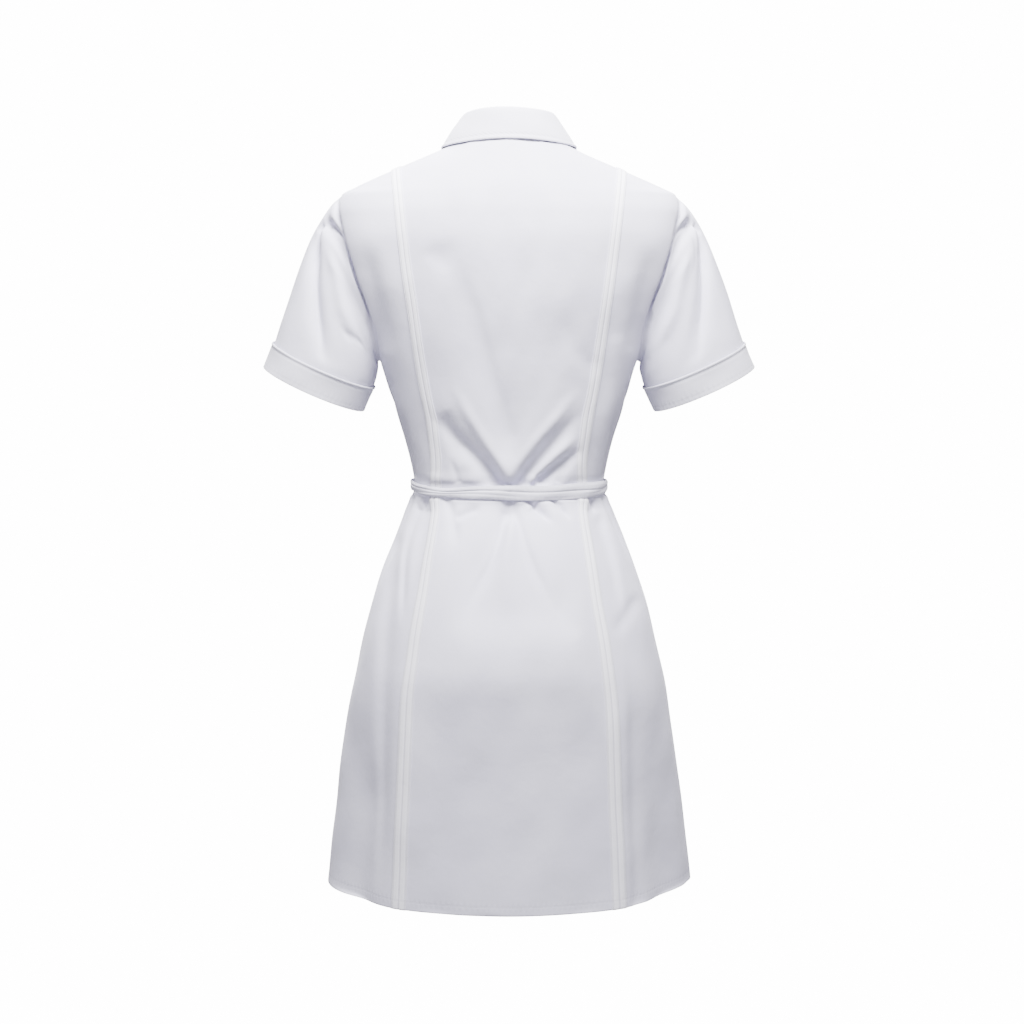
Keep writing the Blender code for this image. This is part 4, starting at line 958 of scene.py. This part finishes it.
def sleeve_form(side, around, along):
    """A sleeve's points, from the armhole to the cuff's top edge."""
    line = armhole(around) * np.array((side, 1.0))
    edge = cloth_surface(line)
    edge_run = np.roll(edge, -1, axis=0) - np.roll(edge, 1, axis=0)
    away = unit(np.cross(edge_run, out_of_body(line, step=0.001)))
    away *= np.sign(np.sum(away * (edge.mean(axis=0) - edge), axis=1, keepdims=True))
    start = edge + SEAM_GAP / 2 * away
    head = np.maximum(np.cos(around), 0.0)[:, None] ** 2
    foot = np.maximum(-np.cos(around), 0.0)[:, None] ** 2
    aside = np.array((side, 0.0, 0.0))
    away = unit(away + (HEAD_LIFT * head + FOOT_LIFT * foot) * aside)
    ring, axis = cuff_ring(side, around, 0.0)
    first_pull = ARMHOLE_PULL + ARMHOLE_PULL_TOP * np.cos(around) + ARMHOLE_PULL_SIDE * np.sin(around) ** 2
    last_pull = CUFF_PULL + CUFF_PULL_TOP * np.cos(around)
    near = start + first_pull[:, None] * away + HEAD_BOW * head * aside
    far = ring - last_pull[:, None] * axis + CUFF_BOW * head * aside
    t = np.asarray(along)[:, None, None]
    return (1 - t) ** 3 * start + 3 * (1 - t) ** 2 * t * near + 3 * (1 - t) * t**2 * far + t**3 * ring


def sleeve_shift(side, around, along):
    """How far a sleeve's folds and creases move its points out, on a flat drawing of the sleeve."""
    radius = (SLEEVE_HALF_WIDTH + SLEEVE_HALF_DEPTH) / 2
    scale = np.array((math.radians(radius), SLEEVE_LENGTH))
    turn = (around + math.pi) % (2 * math.pi) - math.pi
    x, y = np.broadcast_arrays(radius * turn, SLEEVE_LENGTH * along)
    total = np.zeros(x.shape)
    for *ends, reach, height in SLEEVE_FOLDS:
        start, end = ends[:2] * scale, ends[2:] * scale
        total = total + straight_fold(x, y, start, end, reach * MM, height * MM, SLEEVE_FOLD_FADES)
    total = total * smooth_step(along / SLEEVE_ARMHOLE_FADE)
    for which, reach, height, lean, fade_in, fade_out, *line in SLEEVE_CREASES:
        if which in (BOTH_SIDES, side):
            line = np.reshape(line, (-1, 2)) * scale
            for once_round in (0.0, 2 * math.pi * radius):
                moved = x + once_round
                total = total + crease(moved, y, reach * MM, height * MM, lean, fade_in, fade_out, line)
    for turns, rate, phase, size in SLEEVE_DRIFT:
        total = total + size * np.sin(turns * turn + 2 * math.pi * rate * y + phase + side)
    return total * smooth_step((1 - along) / SLEEVE_CUFF_FADE) * smooth_step(along / SLEEVE_EDGE_FADE)


def make_sleeve(side, word, around, look):
    along = np.concatenate([SLEEVE_START_ROWS, np.linspace(0.04, 1.0, SLEEVE_ROWS)])
    ribs = sleeve_form(side, around, along)
    ribs = ribs + sleeve_shift(side, around[None, :], along[:, None])[..., None] * net_facing(ribs)
    ends = [cuff_ring(side, around, share * CUFF_HEIGHT)[0] for share in SLEEVE_IN_CUFF]
    outside = np.concatenate([ribs, np.stack(ends)])
    out = net_facing(outside)
    up = steps_along(outside, 0)
    degrees = (np.degrees(around) + 180) % 360 - 180
    tuck = table_column(ARMHOLE_TUCK, 1, degrees) * ridge(up, 1.0, *ARMHOLE_TUCK_LINE)
    dip = ridge(up, *SEAM_DIP) - tuck * smooth_step(up / ARMHOLE_TUCK_START)
    outside = outside + dip[..., None] * out
    values = np.broadcast_to(around * TUBE_RADIUS, up.shape), up, np.full(up.shape, FAR_OFF), up
    cloth_shell(f"sleeve_{word}", outside, outside - SINGLE_CLOTH * out, look, values,
                ring=True)


def make_cuff(side, word, around, look):
    height = CUFF_HEIGHT + CUFF_LIP
    from_top = height * CUFF_ROWS[:, None]
    sleeve_end = np.stack([cuff_ring(side, around, depth)[0] for depth in from_top[:, 0]])
    out = net_facing(sleeve_end)
    uneven = 1 + CUFF_FLARE_WAVE * np.sin(3 * around + side)
    flare = CUFF_FLARE * np.exp(-from_top / CUFF_FLARE_REACH) * uneven
    soft = CUFF_WAVE * np.sin(5 * around + 2 * side) * np.sin(from_top / height * math.pi)
    lift = SEAM_GAP + flare + soft
    form = DOUBLED_CLOTH + ridge(from_top, *CUFF_RIDGE) + ridge(from_top, *CUFF_GROOVE)
    drop = np.broadcast_to(from_top, lift.shape)
    values = np.broadcast_to(around * TUBE_RADIUS, lift.shape), drop, height - drop, drop
    outside = sleeve_end + (lift + form)[..., None] * out
    inside = sleeve_end + lift[..., None] * out
    cloth_shell(f"cuff_{word}", outside, inside, look, values, ring=True, rolled=(1, 1))


def make_sleeves(cloth, trim):
    around = np.arange(SLEEVE_TURN_STEPS) * 2 * math.pi / SLEEVE_TURN_STEPS
    for side, word in ((1, "left"), (-1, "right")):
        make_sleeve(side, word, around, cloth)
        make_cuff(side, word, around, trim)


def neck_line():
    """(angle, height) all round the neck, from the wearer's right front to the left front."""
    ends = []
    for across in np.linspace(COLLAR_FRONT_GAP, FRONT_BAND_HALF, NECK_END_STEPS + 1)[:-1]:
        height = front_neck_height(across)
        ends.append((math.pi - float(angle_at(across, height)), height))
    left = np.concatenate([ends, front_neck(NECK_FRONT_STEPS, FRONT_BAND_HALF)])
    back = back_neck(NECK_BACK_STEPS)[::-1]
    return np.concatenate([mirror_net(left)[:-1], back[:-1], left[::-1]])


def fold_frame(line):
    """At each point of the collar's fold: its turn from the back, the point, and the ways up and away."""
    body = smooth_body(line)
    turn = np.arctan2(body[:, 0], body[:, 1] + COLLAR_CENTRE_SHIFT) / math.pi
    across, along = np.sin(turn * math.pi), np.cos(turn * math.pi)
    depth = np.where(along > 0, COLLAR_BACK, COLLAR_FRONT)
    drop = COLLAR_SIDE_DROP * across**2 + COLLAR_FRONT_DROP * ((1 - along) / 2) ** 4
    fold = np.stack([COLLAR_HALF_WIDTH * across, depth * along, COLLAR_HEIGHT - drop], axis=-1)
    level_out = np.stack([across, along, np.zeros(len(turn))], axis=-1)
    run = unit(np.gradient(fold, axis=0))
    up = fold - body
    up = unit(up - np.sum(up * run, axis=1, keepdims=True) * run)
    away = np.cross(run, up)
    away *= np.sign(np.sum(away * level_out, axis=1, keepdims=True))
    return turn, fold, up, away


def leaf_edge(turn):
    """(angle, height) of the line on the body that the collar leaf's edge lies over."""
    side = np.sign(turn)
    turn = np.abs(turn)
    angle_back = turn * math.pi
    height_back = LEAF_SIDE_HEIGHT + (LEAF_BACK_HEIGHT - LEAF_SIDE_HEIGHT) * np.cos(angle_back) ** 2
    t = np.clip(2 * turn - 1, 0.0, 1.0) ** LEAF_CROWDING
    start = (section(LEAF_SIDE_HEIGHT)[0], LEAF_SIDE_HEIGHT)
    across, height = ((1 - t) ** 2 * start[k] + 2 * t * (1 - t) * LEAF_CONTROL[k] + t**2 * LEAF_POINT[k]
                      for k in range(2))
    at_back = turn <= 0.5
    angle = np.where(at_back, angle_back, math.pi - angle_at(across, height))
    return np.stack([side * angle, np.where(at_back, height_back, height)], axis=-1)


def smooth_rows(rows, places, wanted):
    """Rows of points in between given rows, on smooth curves."""
    rows = np.stack(rows)
    flat = rows.reshape(len(rows), -1)
    made = [table_column(list(zip(places, column)), 1, wanted) for column in flat.T]
    return np.stack(made, axis=1).reshape((len(wanted),) + rows.shape[1:])


def make_stand(line, fold, away, look):
    edge, out = smooth_body(line), out_of_body(line)
    up = unit(np.cross(out, np.gradient(edge, axis=0)))
    up *= np.sign(up[:, 2:3])
    share = np.linspace(0, 1, STAND_STEPS)[:, None, None]
    hollow = 4 * share * (1 - share) * STAND_HOLLOW * away
    outside = (edge + SEAM_GAP / 2 * up) * (1 - share) + fold * share - hollow
    inside = outside - DOUBLED_CLOTH * unit(out * (1 - share) + away * share)
    height = steps_along(outside, 0)
    values = steps_along(outside, 1), height, height, np.full(height.shape, FAR_OFF)
    cloth_shell("collar_stand", outside, inside, look, values)


def make_leaf(turn, fold, up, away, look):
    edge_line = leaf_edge(turn / np.abs(turn).max())
    edge = smooth_body(edge_line) + (LEAF_CLEAR + LEAF_FORM) * out_of_body(edge_line)
    rows = [fold + step_out * away + rise * up for step_out, rise, _ in LEAF_ROLL]
    places = [place for _, _, place in LEAF_ROLL]
    brow = rows[-1]
    for share in (0.25, 0.5, 0.75, 1.0):
        rows.append(brow * (1 - share) + edge * share + 4 * share * (1 - share) * LEAF_SWELL * away)
        places.append(LEAF_BROW + (1 - LEAF_BROW) * share)
    outside = smooth_rows(rows, places, LEAF_ROWS)
    out = net_facing(outside, away[None])
    along = steps_along(outside, 1)
    from_edge = steps_along(outside[::-1], 0)[::-1]
    from_ends = np.minimum(along, steps_along(outside[:, ::-1], 1)[:, ::-1])
    from_rim = np.minimum(from_edge, from_ends)
    soft = LEAF_WAVE * np.sin(LEAF_WAVE_RATE * along + 1.0) * smooth_step(from_edge / LEAF_WAVE_START)
    lift = ridge(from_rim, *LEAF_RIDGE) + ridge(from_rim, *LEAF_GROOVE) + soft
    outside = outside + lift[..., None] * out
    values = steps_along(outside, 1), from_edge, from_rim, from_rim
    inside = outside - LEAF_FORM * out
    cloth_shell("collar_leaf", outside, inside, look, values, rolled=(0, 1))


def make_collar(trim):
    line = neck_line()
    turn, fold, up, away = fold_frame(line)
    make_stand(line, fold, away, trim)
    make_leaf(turn, fold, up, away, trim)


def make_belt(trim):
    degrees = np.linspace(BELT_UNDER_END, BELT_OVER_END, BELT_STEPS + 1)
    angle = np.radians(degrees)
    lapped = smooth_step((BELT_LAP_START - degrees) / BELT_LAP_RISE)
    to_tip = np.clip((degrees - BELT_OVER_END) / BELT_TIP, 0.0, 1.0)
    half = table_column(BELT_EDGES, 2, degrees) * (BELT_TIP_SHARE + (1 - BELT_TIP_SHARE) * to_tip)
    middle = table_column(BELT_EDGES, 1, degrees) + waves(angle, BELT_MIDDLE_WAVES)
    share = np.asarray(BELT_COLUMNS)[:, None]
    folds = 0.0
    for height, place, place_waves, reach in BELT_FOLDS:
        folds = folds + ridge(share, height, place + waves(angle, place_waves), reach)
    crown = BELT_CROWN * (1 - share**2) + BELT_WAVE * np.sin(11 * angle + 2 * share)
    edge = 1 - np.abs(share)
    thick = BELT_CLOTH * (BELT_EDGE_FORM + (1 - BELT_EDGE_FORM) * smooth_step(edge / BELT_EDGE_ROUND))
    thick = thick + crown + folds
    over_band = ridge(np.abs((degrees + 180) % 360 - 180), 1.0, *BELT_OVER_SEAM_BAND)
    over_band = over_band + ridge(np.abs(degrees), 1.0, *BELT_OVER_FRONT_BAND)
    rise = BELT_OVER_BAND_RISE * over_band - BELT_LEAN * (1 - share) / 2
    lift = BELT_CLEAR + lapped * (BELT_FORM + SEAM_GAP) + rise * (1 - lapped)
    net = np.stack([angle, np.full(len(angle), WAIST)], axis=1)
    waist, out = smooth_body(net), out_of_body(net)
    level = middle + share * half - WAIST
    ring = waist + level[..., None] * np.array((0.0, 0.0, 1.0))
    from_edge = edge * half
    values = np.broadcast_to(steps_along(waist[None], 1), level.shape), share * half, from_edge, from_edge
    cloth_shell("belt", ring + (lift + thick)[..., None] * out, ring + lift[..., None] * out, trim, values,
                rolled=(1, 1))


class Sum:
    """A socket of a material. Arithmetic on it adds Math nodes."""

    def __init__(self, look, socket):
        self.look = look
        self.socket = socket

    def math(self, operation, *values):
        return self.look.node("ShaderNodeMath", {"operation": operation}, dict(enumerate(values)))

    def __add__(self, other):
        return self.math("ADD", self, other)

    def __sub__(self, other):
        return self.math("SUBTRACT", self, other)

    def __rsub__(self, other):
        return self.math("SUBTRACT", other, self)

    def __mul__(self, other):
        return self.math("MULTIPLY", self, other)

    def __truediv__(self, other):
        return self.math("DIVIDE", self, other)

    def sine(self):
        return self.math("SINE", self)

    def root(self):
        return self.math("SQRT", self)

    def size(self):
        return self.math("ABSOLUTE", self)

    def fraction(self):
        return self.math("FRACT", self)

    def no_more_than(self, most):
        return self.math("MINIMUM", self, most)

    def between(self, low, high):
        """0 at low and 1 at high, smoothly."""
        sockets = {"Value": self, "From Min": low, "From Max": high}
        return self.look.node("ShaderNodeMapRange", {"interpolation_type": "SMOOTHSTEP"}, sockets)

    def beside(self, place, near, far):
        """1 within near of a place and 0 past far of it, smoothly."""
        return 1 - (self - place).size().between(near, far)


class Look:
    """A material that is put together from nodes."""

    def __init__(self, name, sockets):
        self.material = bpy.data.materials.new(name)
        self.material.use_nodes = True
        self.tree = self.material.node_tree
        self.shader = self.tree.nodes["Principled BSDF"]
        for socket, value in sockets.items():
            self.shader.inputs[socket].default_value = value
        self.place = self.node("ShaderNodeTexCoord", output="Object")

    def node(self, kind, settings=None, sockets=None, output=0):
        made = self.tree.nodes.new(kind)
        for key, value in (settings or {}).items():
            setattr(made, key, value)
        for key, value in (sockets or {}).items():
            if isinstance(value, Sum):
                self.tree.links.new(value.socket, made.inputs[key])
            else:
                made.inputs[key].default_value = value
        return Sum(self, made.outputs[output])

    def value_of(self, name):
        settings = {"attribute_type": "GEOMETRY", "attribute_name": name}
        return self.node("ShaderNodeAttribute", settings, output="Fac")

    def noise(self, scale, detail=2.0, roughness=0.5):
        sockets = {"Vector": self.place, "Scale": scale, "Detail": detail, "Roughness": roughness}
        return self.node("ShaderNodeTexNoise", {"noise_dimensions": "3D"}, sockets)

    def mixed(self, share, first, second):
        settings = {"data_type": "RGBA", "clamp_factor": True}
        return self.node("ShaderNodeMix", settings, {0: share, 6: first, 7: second}, output=2)

    def finish(self, socket, value):
        self.tree.links.new(value.socket, self.shader.inputs[socket])

    def raised(self, height):
        """Gives the surface a relief, in metres."""
        sockets = {"Strength": 1.0, "Distance": 1.0, "Height": height}
        self.finish("Normal", self.node("ShaderNodeBump", {}, sockets, output="Normal"))


def twill(across, up):
    """Fine slanting ribs with crossing threads, as height in metres."""
    rib = ((across + up) * (2 * math.pi / TWILL_PITCH)).sine()
    thread = ((across - up) * (2 * math.pi * TWILL_THREADS / TWILL_PITCH)).sine()
    return rib * TWILL_RIB + thread * TWILL_THREAD


def stitches(gap, run, place):
    """1 on the threads of a line of stitches that lies this far from an edge."""
    line = gap.beside(place, STITCH_HALF * 0.6, STITCH_HALF * 1.4)
    return line * (run / STITCH_PITCH).fraction().beside(0.5, 0.36, 0.46)


def cloth_look(name, colours, hem_place, edge_place=None, middle=False):
    """White twill with creases too fine for the mesh, painted shade in its seams and stitch grooves, and
    lines of stitches.
    """
    white, shaded, painted_seam_shade = colours
    look = Look(name, {
        "Roughness": 0.82,
        "Specular IOR Level": 0.28,
        "Sheen Weight": 0.22,
        "Sheen Roughness": 0.45,
        "Sheen Tint": (0.97, 0.97, 1.0, 1.0),
    })
    across, up, hem_gap, seam_gap = (look.value_of(value) for value in VALUE_NAMES[:4])
    broad = look.noise(9.0)
    crumple = look.noise(38.0, 3.0, 0.55)
    slub = look.noise(420.0, 2.0, 0.6)
    height = twill(across, up) + crumple * CRUMPLE + slub * SLUB

    groove = hem_gap.beside(hem_place, *HEM_GROOVE)
    pucker = (across * (2 * math.pi / PUCKER_PITCH) + broad * PUCKER_WANDER).sine()
    pucker = pucker * hem_gap.beside(hem_place, *PUCKER_REACH)
    height = height + pucker * PUCKER - groove * HEM_GROOVE_DEPTH
    height = height + stitches(hem_gap, across, hem_place) * STITCH_RISE
    # Painted shade: how far the colour darkens in the hem's stitch groove and right beside a seam
    shadow = groove * HEM_SHADOW + (1 - seam_gap.between(*SEAM_SHADOW_REACH)) * SEAM_SHADOW
    if edge_place is not None:
        groove = seam_gap.beside(edge_place, *EDGE_GROOVE)
        height = height + (stitches(seam_gap, up, edge_place) - groove) * EDGE_GROOVE_DEPTH
        shadow = shadow + groove * EDGE_SHADOW
    if middle:
        groove = 1 - look.value_of("middle_gap").between(*MIDDLE_GROOVE)
        height = height - groove * MIDDLE_GROOVE_DEPTH
        shadow = shadow + groove * MIDDLE_SHADOW
    look.raised(height)

    tone = look.mixed(broad.between(0.35, 0.70), white, shaded)
    # The base colour is darkened towards the painted seam shade in the seams and grooves
    look.finish("Base Color", look.mixed(shadow.no_more_than(1.0), tone, painted_seam_shade))
    look.finish("Roughness", crumple.between(0.2, 0.8) * 0.08 + 0.78)
    return look.material


def button_look():
    sockets = {"Specular IOR Level": 0.5, "Coat Weight": 0.25, "Coat Roughness": 0.15}
    look = Look("moulded_white_resin", sockets)
    cloud = look.noise(160.0)
    look.finish("Base Color", look.mixed(cloud.between(0.3, 0.7), *RESIN_COLOURS))
    look.finish("Roughness", cloud * 0.10 + 0.24)
    look.raised(look.noise(900.0) * RESIN_GRAIN)
    return look.material


def thread_look():
    look = Look("white_thread", {"Sheen Weight": 0.3, "Sheen Roughness": 0.4, "Specular IOR Level": 0.3})
    strand = look.noise(1500.0, 2.0, 0.6)
    look.finish("Base Color", look.mixed(strand, *THREAD_COLOURS))
    look.finish("Roughness", strand * 0.15 + 0.65)
    look.raised(strand * THREAD_GRAIN)
    return look.material


def turned(profile, sides, closed=True):
    """Points and faces of a turned profile of (radius, height). A closed one ends on its axis too."""
    turn = np.arange(sides) * 2 * math.pi / sides
    rings = profile[1:-1] if closed else profile[1:]
    points = [(0.0, 0.0, profile[0][1])]
    for radius, height in rings:
        points.extend((radius * math.cos(t), radius * math.sin(t), height) for t in turn)
    around = [(i, (i + 1) % sides) for i in range(sides)]
    faces = [(0, 1 + after, 1 + i) for i, after in around]
    for row in range(1, 1 + (len(rings) - 1) * sides, sides):
        faces.extend((row + i, row + after, row + after + sides, row + i + sides) for i, after in around)
    if closed:
        last = len(points) - sides
        faces.extend((last + i, last + after, len(points)) for i, after in around)
        points.append((0.0, 0.0, profile[-1][1]))
    return points, faces


def tube(points, radius, sides=8):
    """Points and faces of a round thread along a line, with closed ends."""
    run = unit(np.gradient(points, axis=0))
    aside = unit(np.cross(run, (0.3, 0.2, 1.0)))
    over = np.cross(run, aside)
    turn = (np.arange(sides) * 2 * math.pi / sides)[None, :, None]
    made = points[:, None] + radius * (np.cos(turn) * aside[:, None] + np.sin(turn) * over[:, None])
    numbers = np.arange(len(points) * sides).reshape(-1, sides)
    after = np.roll(numbers, -1, axis=1)
    faces = np.stack([numbers[:-1], after[:-1], after[1:], numbers[1:]], axis=-1).reshape(-1, 4).tolist()
    return made.reshape(-1, 3), faces + [numbers[0, ::-1].tolist(), numbers[-1].tolist()]


def joined(pieces):
    """The points and faces of several pieces as one."""
    points, faces = [], []
    for piece_points, piece_faces in pieces:
        faces.extend([i + len(points) for i in face] for face in piece_faces)
        points.extend(piece_points)
    return points, faces


def button_mesh(look):
    """A four-holed button lying on z = 0, with its holes cut through."""
    profile = [(BUTTON_RADIUS * share, BUTTON_THICK * rise) for share, rise in BUTTON_PROFILE]
    button = link_mesh("button_form", *turned(profile, BUTTON_SIDES), look)
    low, high = BUTTON_HOLE_ENDS
    profile = ((0.0, low), (BUTTON_HOLE_RADIUS, low), (BUTTON_HOLE_RADIUS, high), (0.0, high))
    points, faces = turned(profile, 20)
    spread = ((1, 1), (1, -1), (-1, 1), (-1, -1))
    moves = [np.array((x * BUTTON_HOLE_SPREAD, y * BUTTON_HOLE_SPREAD, 0.0)) for x, y in spread]
    holes = link_mesh("button_holes", *joined([(points + move, faces) for move in moves]), look)
    cut = button.modifiers.new("holes", "BOOLEAN")
    cut.operation = "DIFFERENCE"
    cut.solver = "EXACT"
    cut.object = holes
    bpy.context.view_layer.update()
    mesh = bpy.data.meshes.new_from_object(button.evaluated_get(bpy.context.evaluated_depsgraph_get()))
    mesh.shade_smooth()
    mesh.set_sharp_from_angle(angle=math.radians(50))
    bpy.data.objects.remove(button)
    bpy.data.objects.remove(holes)
    return mesh


def place_button(name, mesh, base, ways):
    own = mesh.copy()
    places = np.empty(len(own.vertices) * 3)
    own.vertices.foreach_get("co", places)
    own.vertices.foreach_set("co", (base + places.reshape(-1, 3) @ ways).ravel())
    own.update()
    button = bpy.data.objects.new(f"look_{name}", own)
    bpy.context.scene.collection.objects.link(button)
    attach(button, "root")
    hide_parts(name)


def button_threads(base, ways):
    """Two pairs of threads between a button's holes."""
    first, second, out = ways
    steps = np.linspace(-1, 1, 9)
    dive = THREAD_DIVE * np.maximum(np.abs(steps) - 0.8, 0) / 0.2
    rise = BUTTON_FACE * BUTTON_THICK + THREAD_RADIUS * 0.9 - dive
    line = base + (steps * BUTTON_HOLE_SPREAD)[:, None] * second + rise[:, None] * out
    return [tube(line + (side * BUTTON_HOLE_SPREAD + offset) * first, THREAD_RADIUS)
            for side in (-1, 1) for offset in (-THREAD_APART, THREAD_APART)]


def buttonhole(base, ways):
    """The corded edge of an upright buttonhole."""
    first, second, out = ways
    turns = np.linspace(0, 2 * math.pi, 49)[:-1, None]
    up = np.clip(np.cos(turns) * 3, -1, 1) * BUTTONHOLE_HALF - BUTTONHOLE_DROP
    ring = base + np.sin(turns) * BUTTONHOLE_WIDTH / 2 * first + up * second + BUTTONHOLE_RISE * out
    return tube(np.concatenate([ring, ring[:1]]), BUTTONHOLE_CORD, 6)


def make_buttons(resin, thread):
    mesh = button_mesh(resin)
    threads = []
    rows = [(f"button_{n}", height) for n, height in enumerate(BUTTON_HEIGHTS, 1)] + [("belt_button", WAIST)]
    for number, (name, height) in enumerate(rows):
        place = np.array((math.pi, height))
        on_belt = name == "belt_button"
        out = out_of_body(place)
        level = unit(np.cross((0.0, 0.0, 1.0), out))
        tilt = BUTTON_TILT * math.sin(2.3 * number)
        first = math.cos(tilt) * level + math.sin(tilt) * np.cross(out, level)
        ways = np.stack([first, np.cross(out, first), out])
        if on_belt:
            base = smooth_body(place) + BUTTON_OVER_BELT * out
        else:
            base = cloth_surface(place) + BUTTON_OVER_BAND * out
        place_button(name, mesh, base, ways)
        threads += button_threads(base, ways)
        if not on_belt:
            threads.append(buttonhole(base, ways))
    stitching = link_mesh("button_stitching", *joined(threads), thread)
    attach(stitching, "root")


def area_light(name, place, target, size, power, colour):
    light = bpy.data.lights.new(name, "AREA")
    light.shape = "RECTANGLE"
    light.size, light.size_y = size
    light.energy = power
    light.color = colour
    made = bpy.data.objects.new(name, light)
    made.location = place
    made.rotation_euler = (Vector(target) - Vector(place)).to_track_quat("-Z", "Y").to_euler()
    bpy.context.scene.collection.objects.link(made)


def studio_look():
    """A pale wall that glows where the camera looks, and less all round."""
    sockets = {"Roughness": 0.9, "Base Color": STUDIO_COLOUR, "Emission Strength": WALL_GLOW}
    look = Look("studio_white", sockets)
    across, back, height = (look.node("ShaderNodeSeparateXYZ", {}, {"Vector": look.place}, output=axis)
                            for axis in "XYZ")
    away = (across * across + back * back).root()
    past_edge = across.size() - (CAMERA_PLACE[1] - back) * WALL_LIT_NARROWING
    lit = (back * -1).between(*WALL_LIT_FROM) * (1 - past_edge.between(*WALL_LIT_EDGE))
    lit = lit * (1 - height.between(*WALL_LIT_TOP))
    glow = lit + away.between(*PALE_FROM) * (PALE_GLOW / WALL_GLOW)
    look.finish("Emission Color", look.mixed(glow, DARK, LIT))
    look.material.cycles.emission_sampling = "NONE"
    return look.material


def make_studio():
    """A pale floor that curves up into a round pale wall, soft lights and the photograph's camera."""
    profile = [(radius, FLOOR) for radius in (0.0, 0.8, 1.6, 2.6, 3.8)]
    for turn in np.linspace(0, math.pi / 2, 13):
        past, rise = FLOOR_CURVE * (1 - math.sin(turn)), FLOOR_CURVE * (1 - math.cos(turn))
        profile.append((WALL_DISTANCE - past, FLOOR + rise))
    profile.append((WALL_DISTANCE, WALL_TOP))
    points, faces = turned(profile, 96, closed=False)
    floor = link_mesh("studio_floor", points, [face[::-1] for face in faces], studio_look())
    floor.visible_diffuse = False
    floor.visible_glossy = False

    world = bpy.context.scene.world or bpy.data.worlds.new("studio")
    bpy.context.scene.world = world
    world.use_nodes = True
    background = world.node_tree.nodes["Background"]
    background.inputs["Color"].default_value = WORLD_COLOUR
    background.inputs["Strength"].default_value = WORLD_LIGHT
    for light in LIGHTS:
        area_light(*light)

    camera = bpy.data.cameras.new("photo_camera")
    camera.sensor_width = SENSOR
    camera.lens = CAMERA_LENS
    camera.clip_end = 50.0
    view = bpy.data.objects.new("photo_camera", camera)
    view.location = CAMERA_PLACE
    view.rotation_euler = (math.pi / 2 - CAMERA_DOWN, 0.0, math.pi)
    bpy.context.scene.collection.objects.link(view)
    bpy.context.scene.camera = view


def main():
    cloth = cloth_look("white_twill", CLOTH_COLOURS, HEM_STITCHES)
    band = cloth_look("white_band_twill", BAND_COLOURS, HEM_STITCHES, BAND_EDGE_STITCHES, middle=True)
    closing = cloth_look("white_front_band_twill", TRIM_COLOURS, HEM_STITCHES, FRONT_BAND_EDGE_STITCHES)
    edged = cloth_look("white_edged_twill", TRIM_COLOURS, COLLAR_STITCHES)
    belt_cloth = cloth_look("white_belt_twill", TRIM_COLOURS, BELT_STITCHES)
    make_body(cloth, band, closing)
    make_sleeves(cloth, edged)
    make_collar(edged)
    make_belt(belt_cloth)
    make_buttons(button_look(), thread_look())
    make_studio()


main()
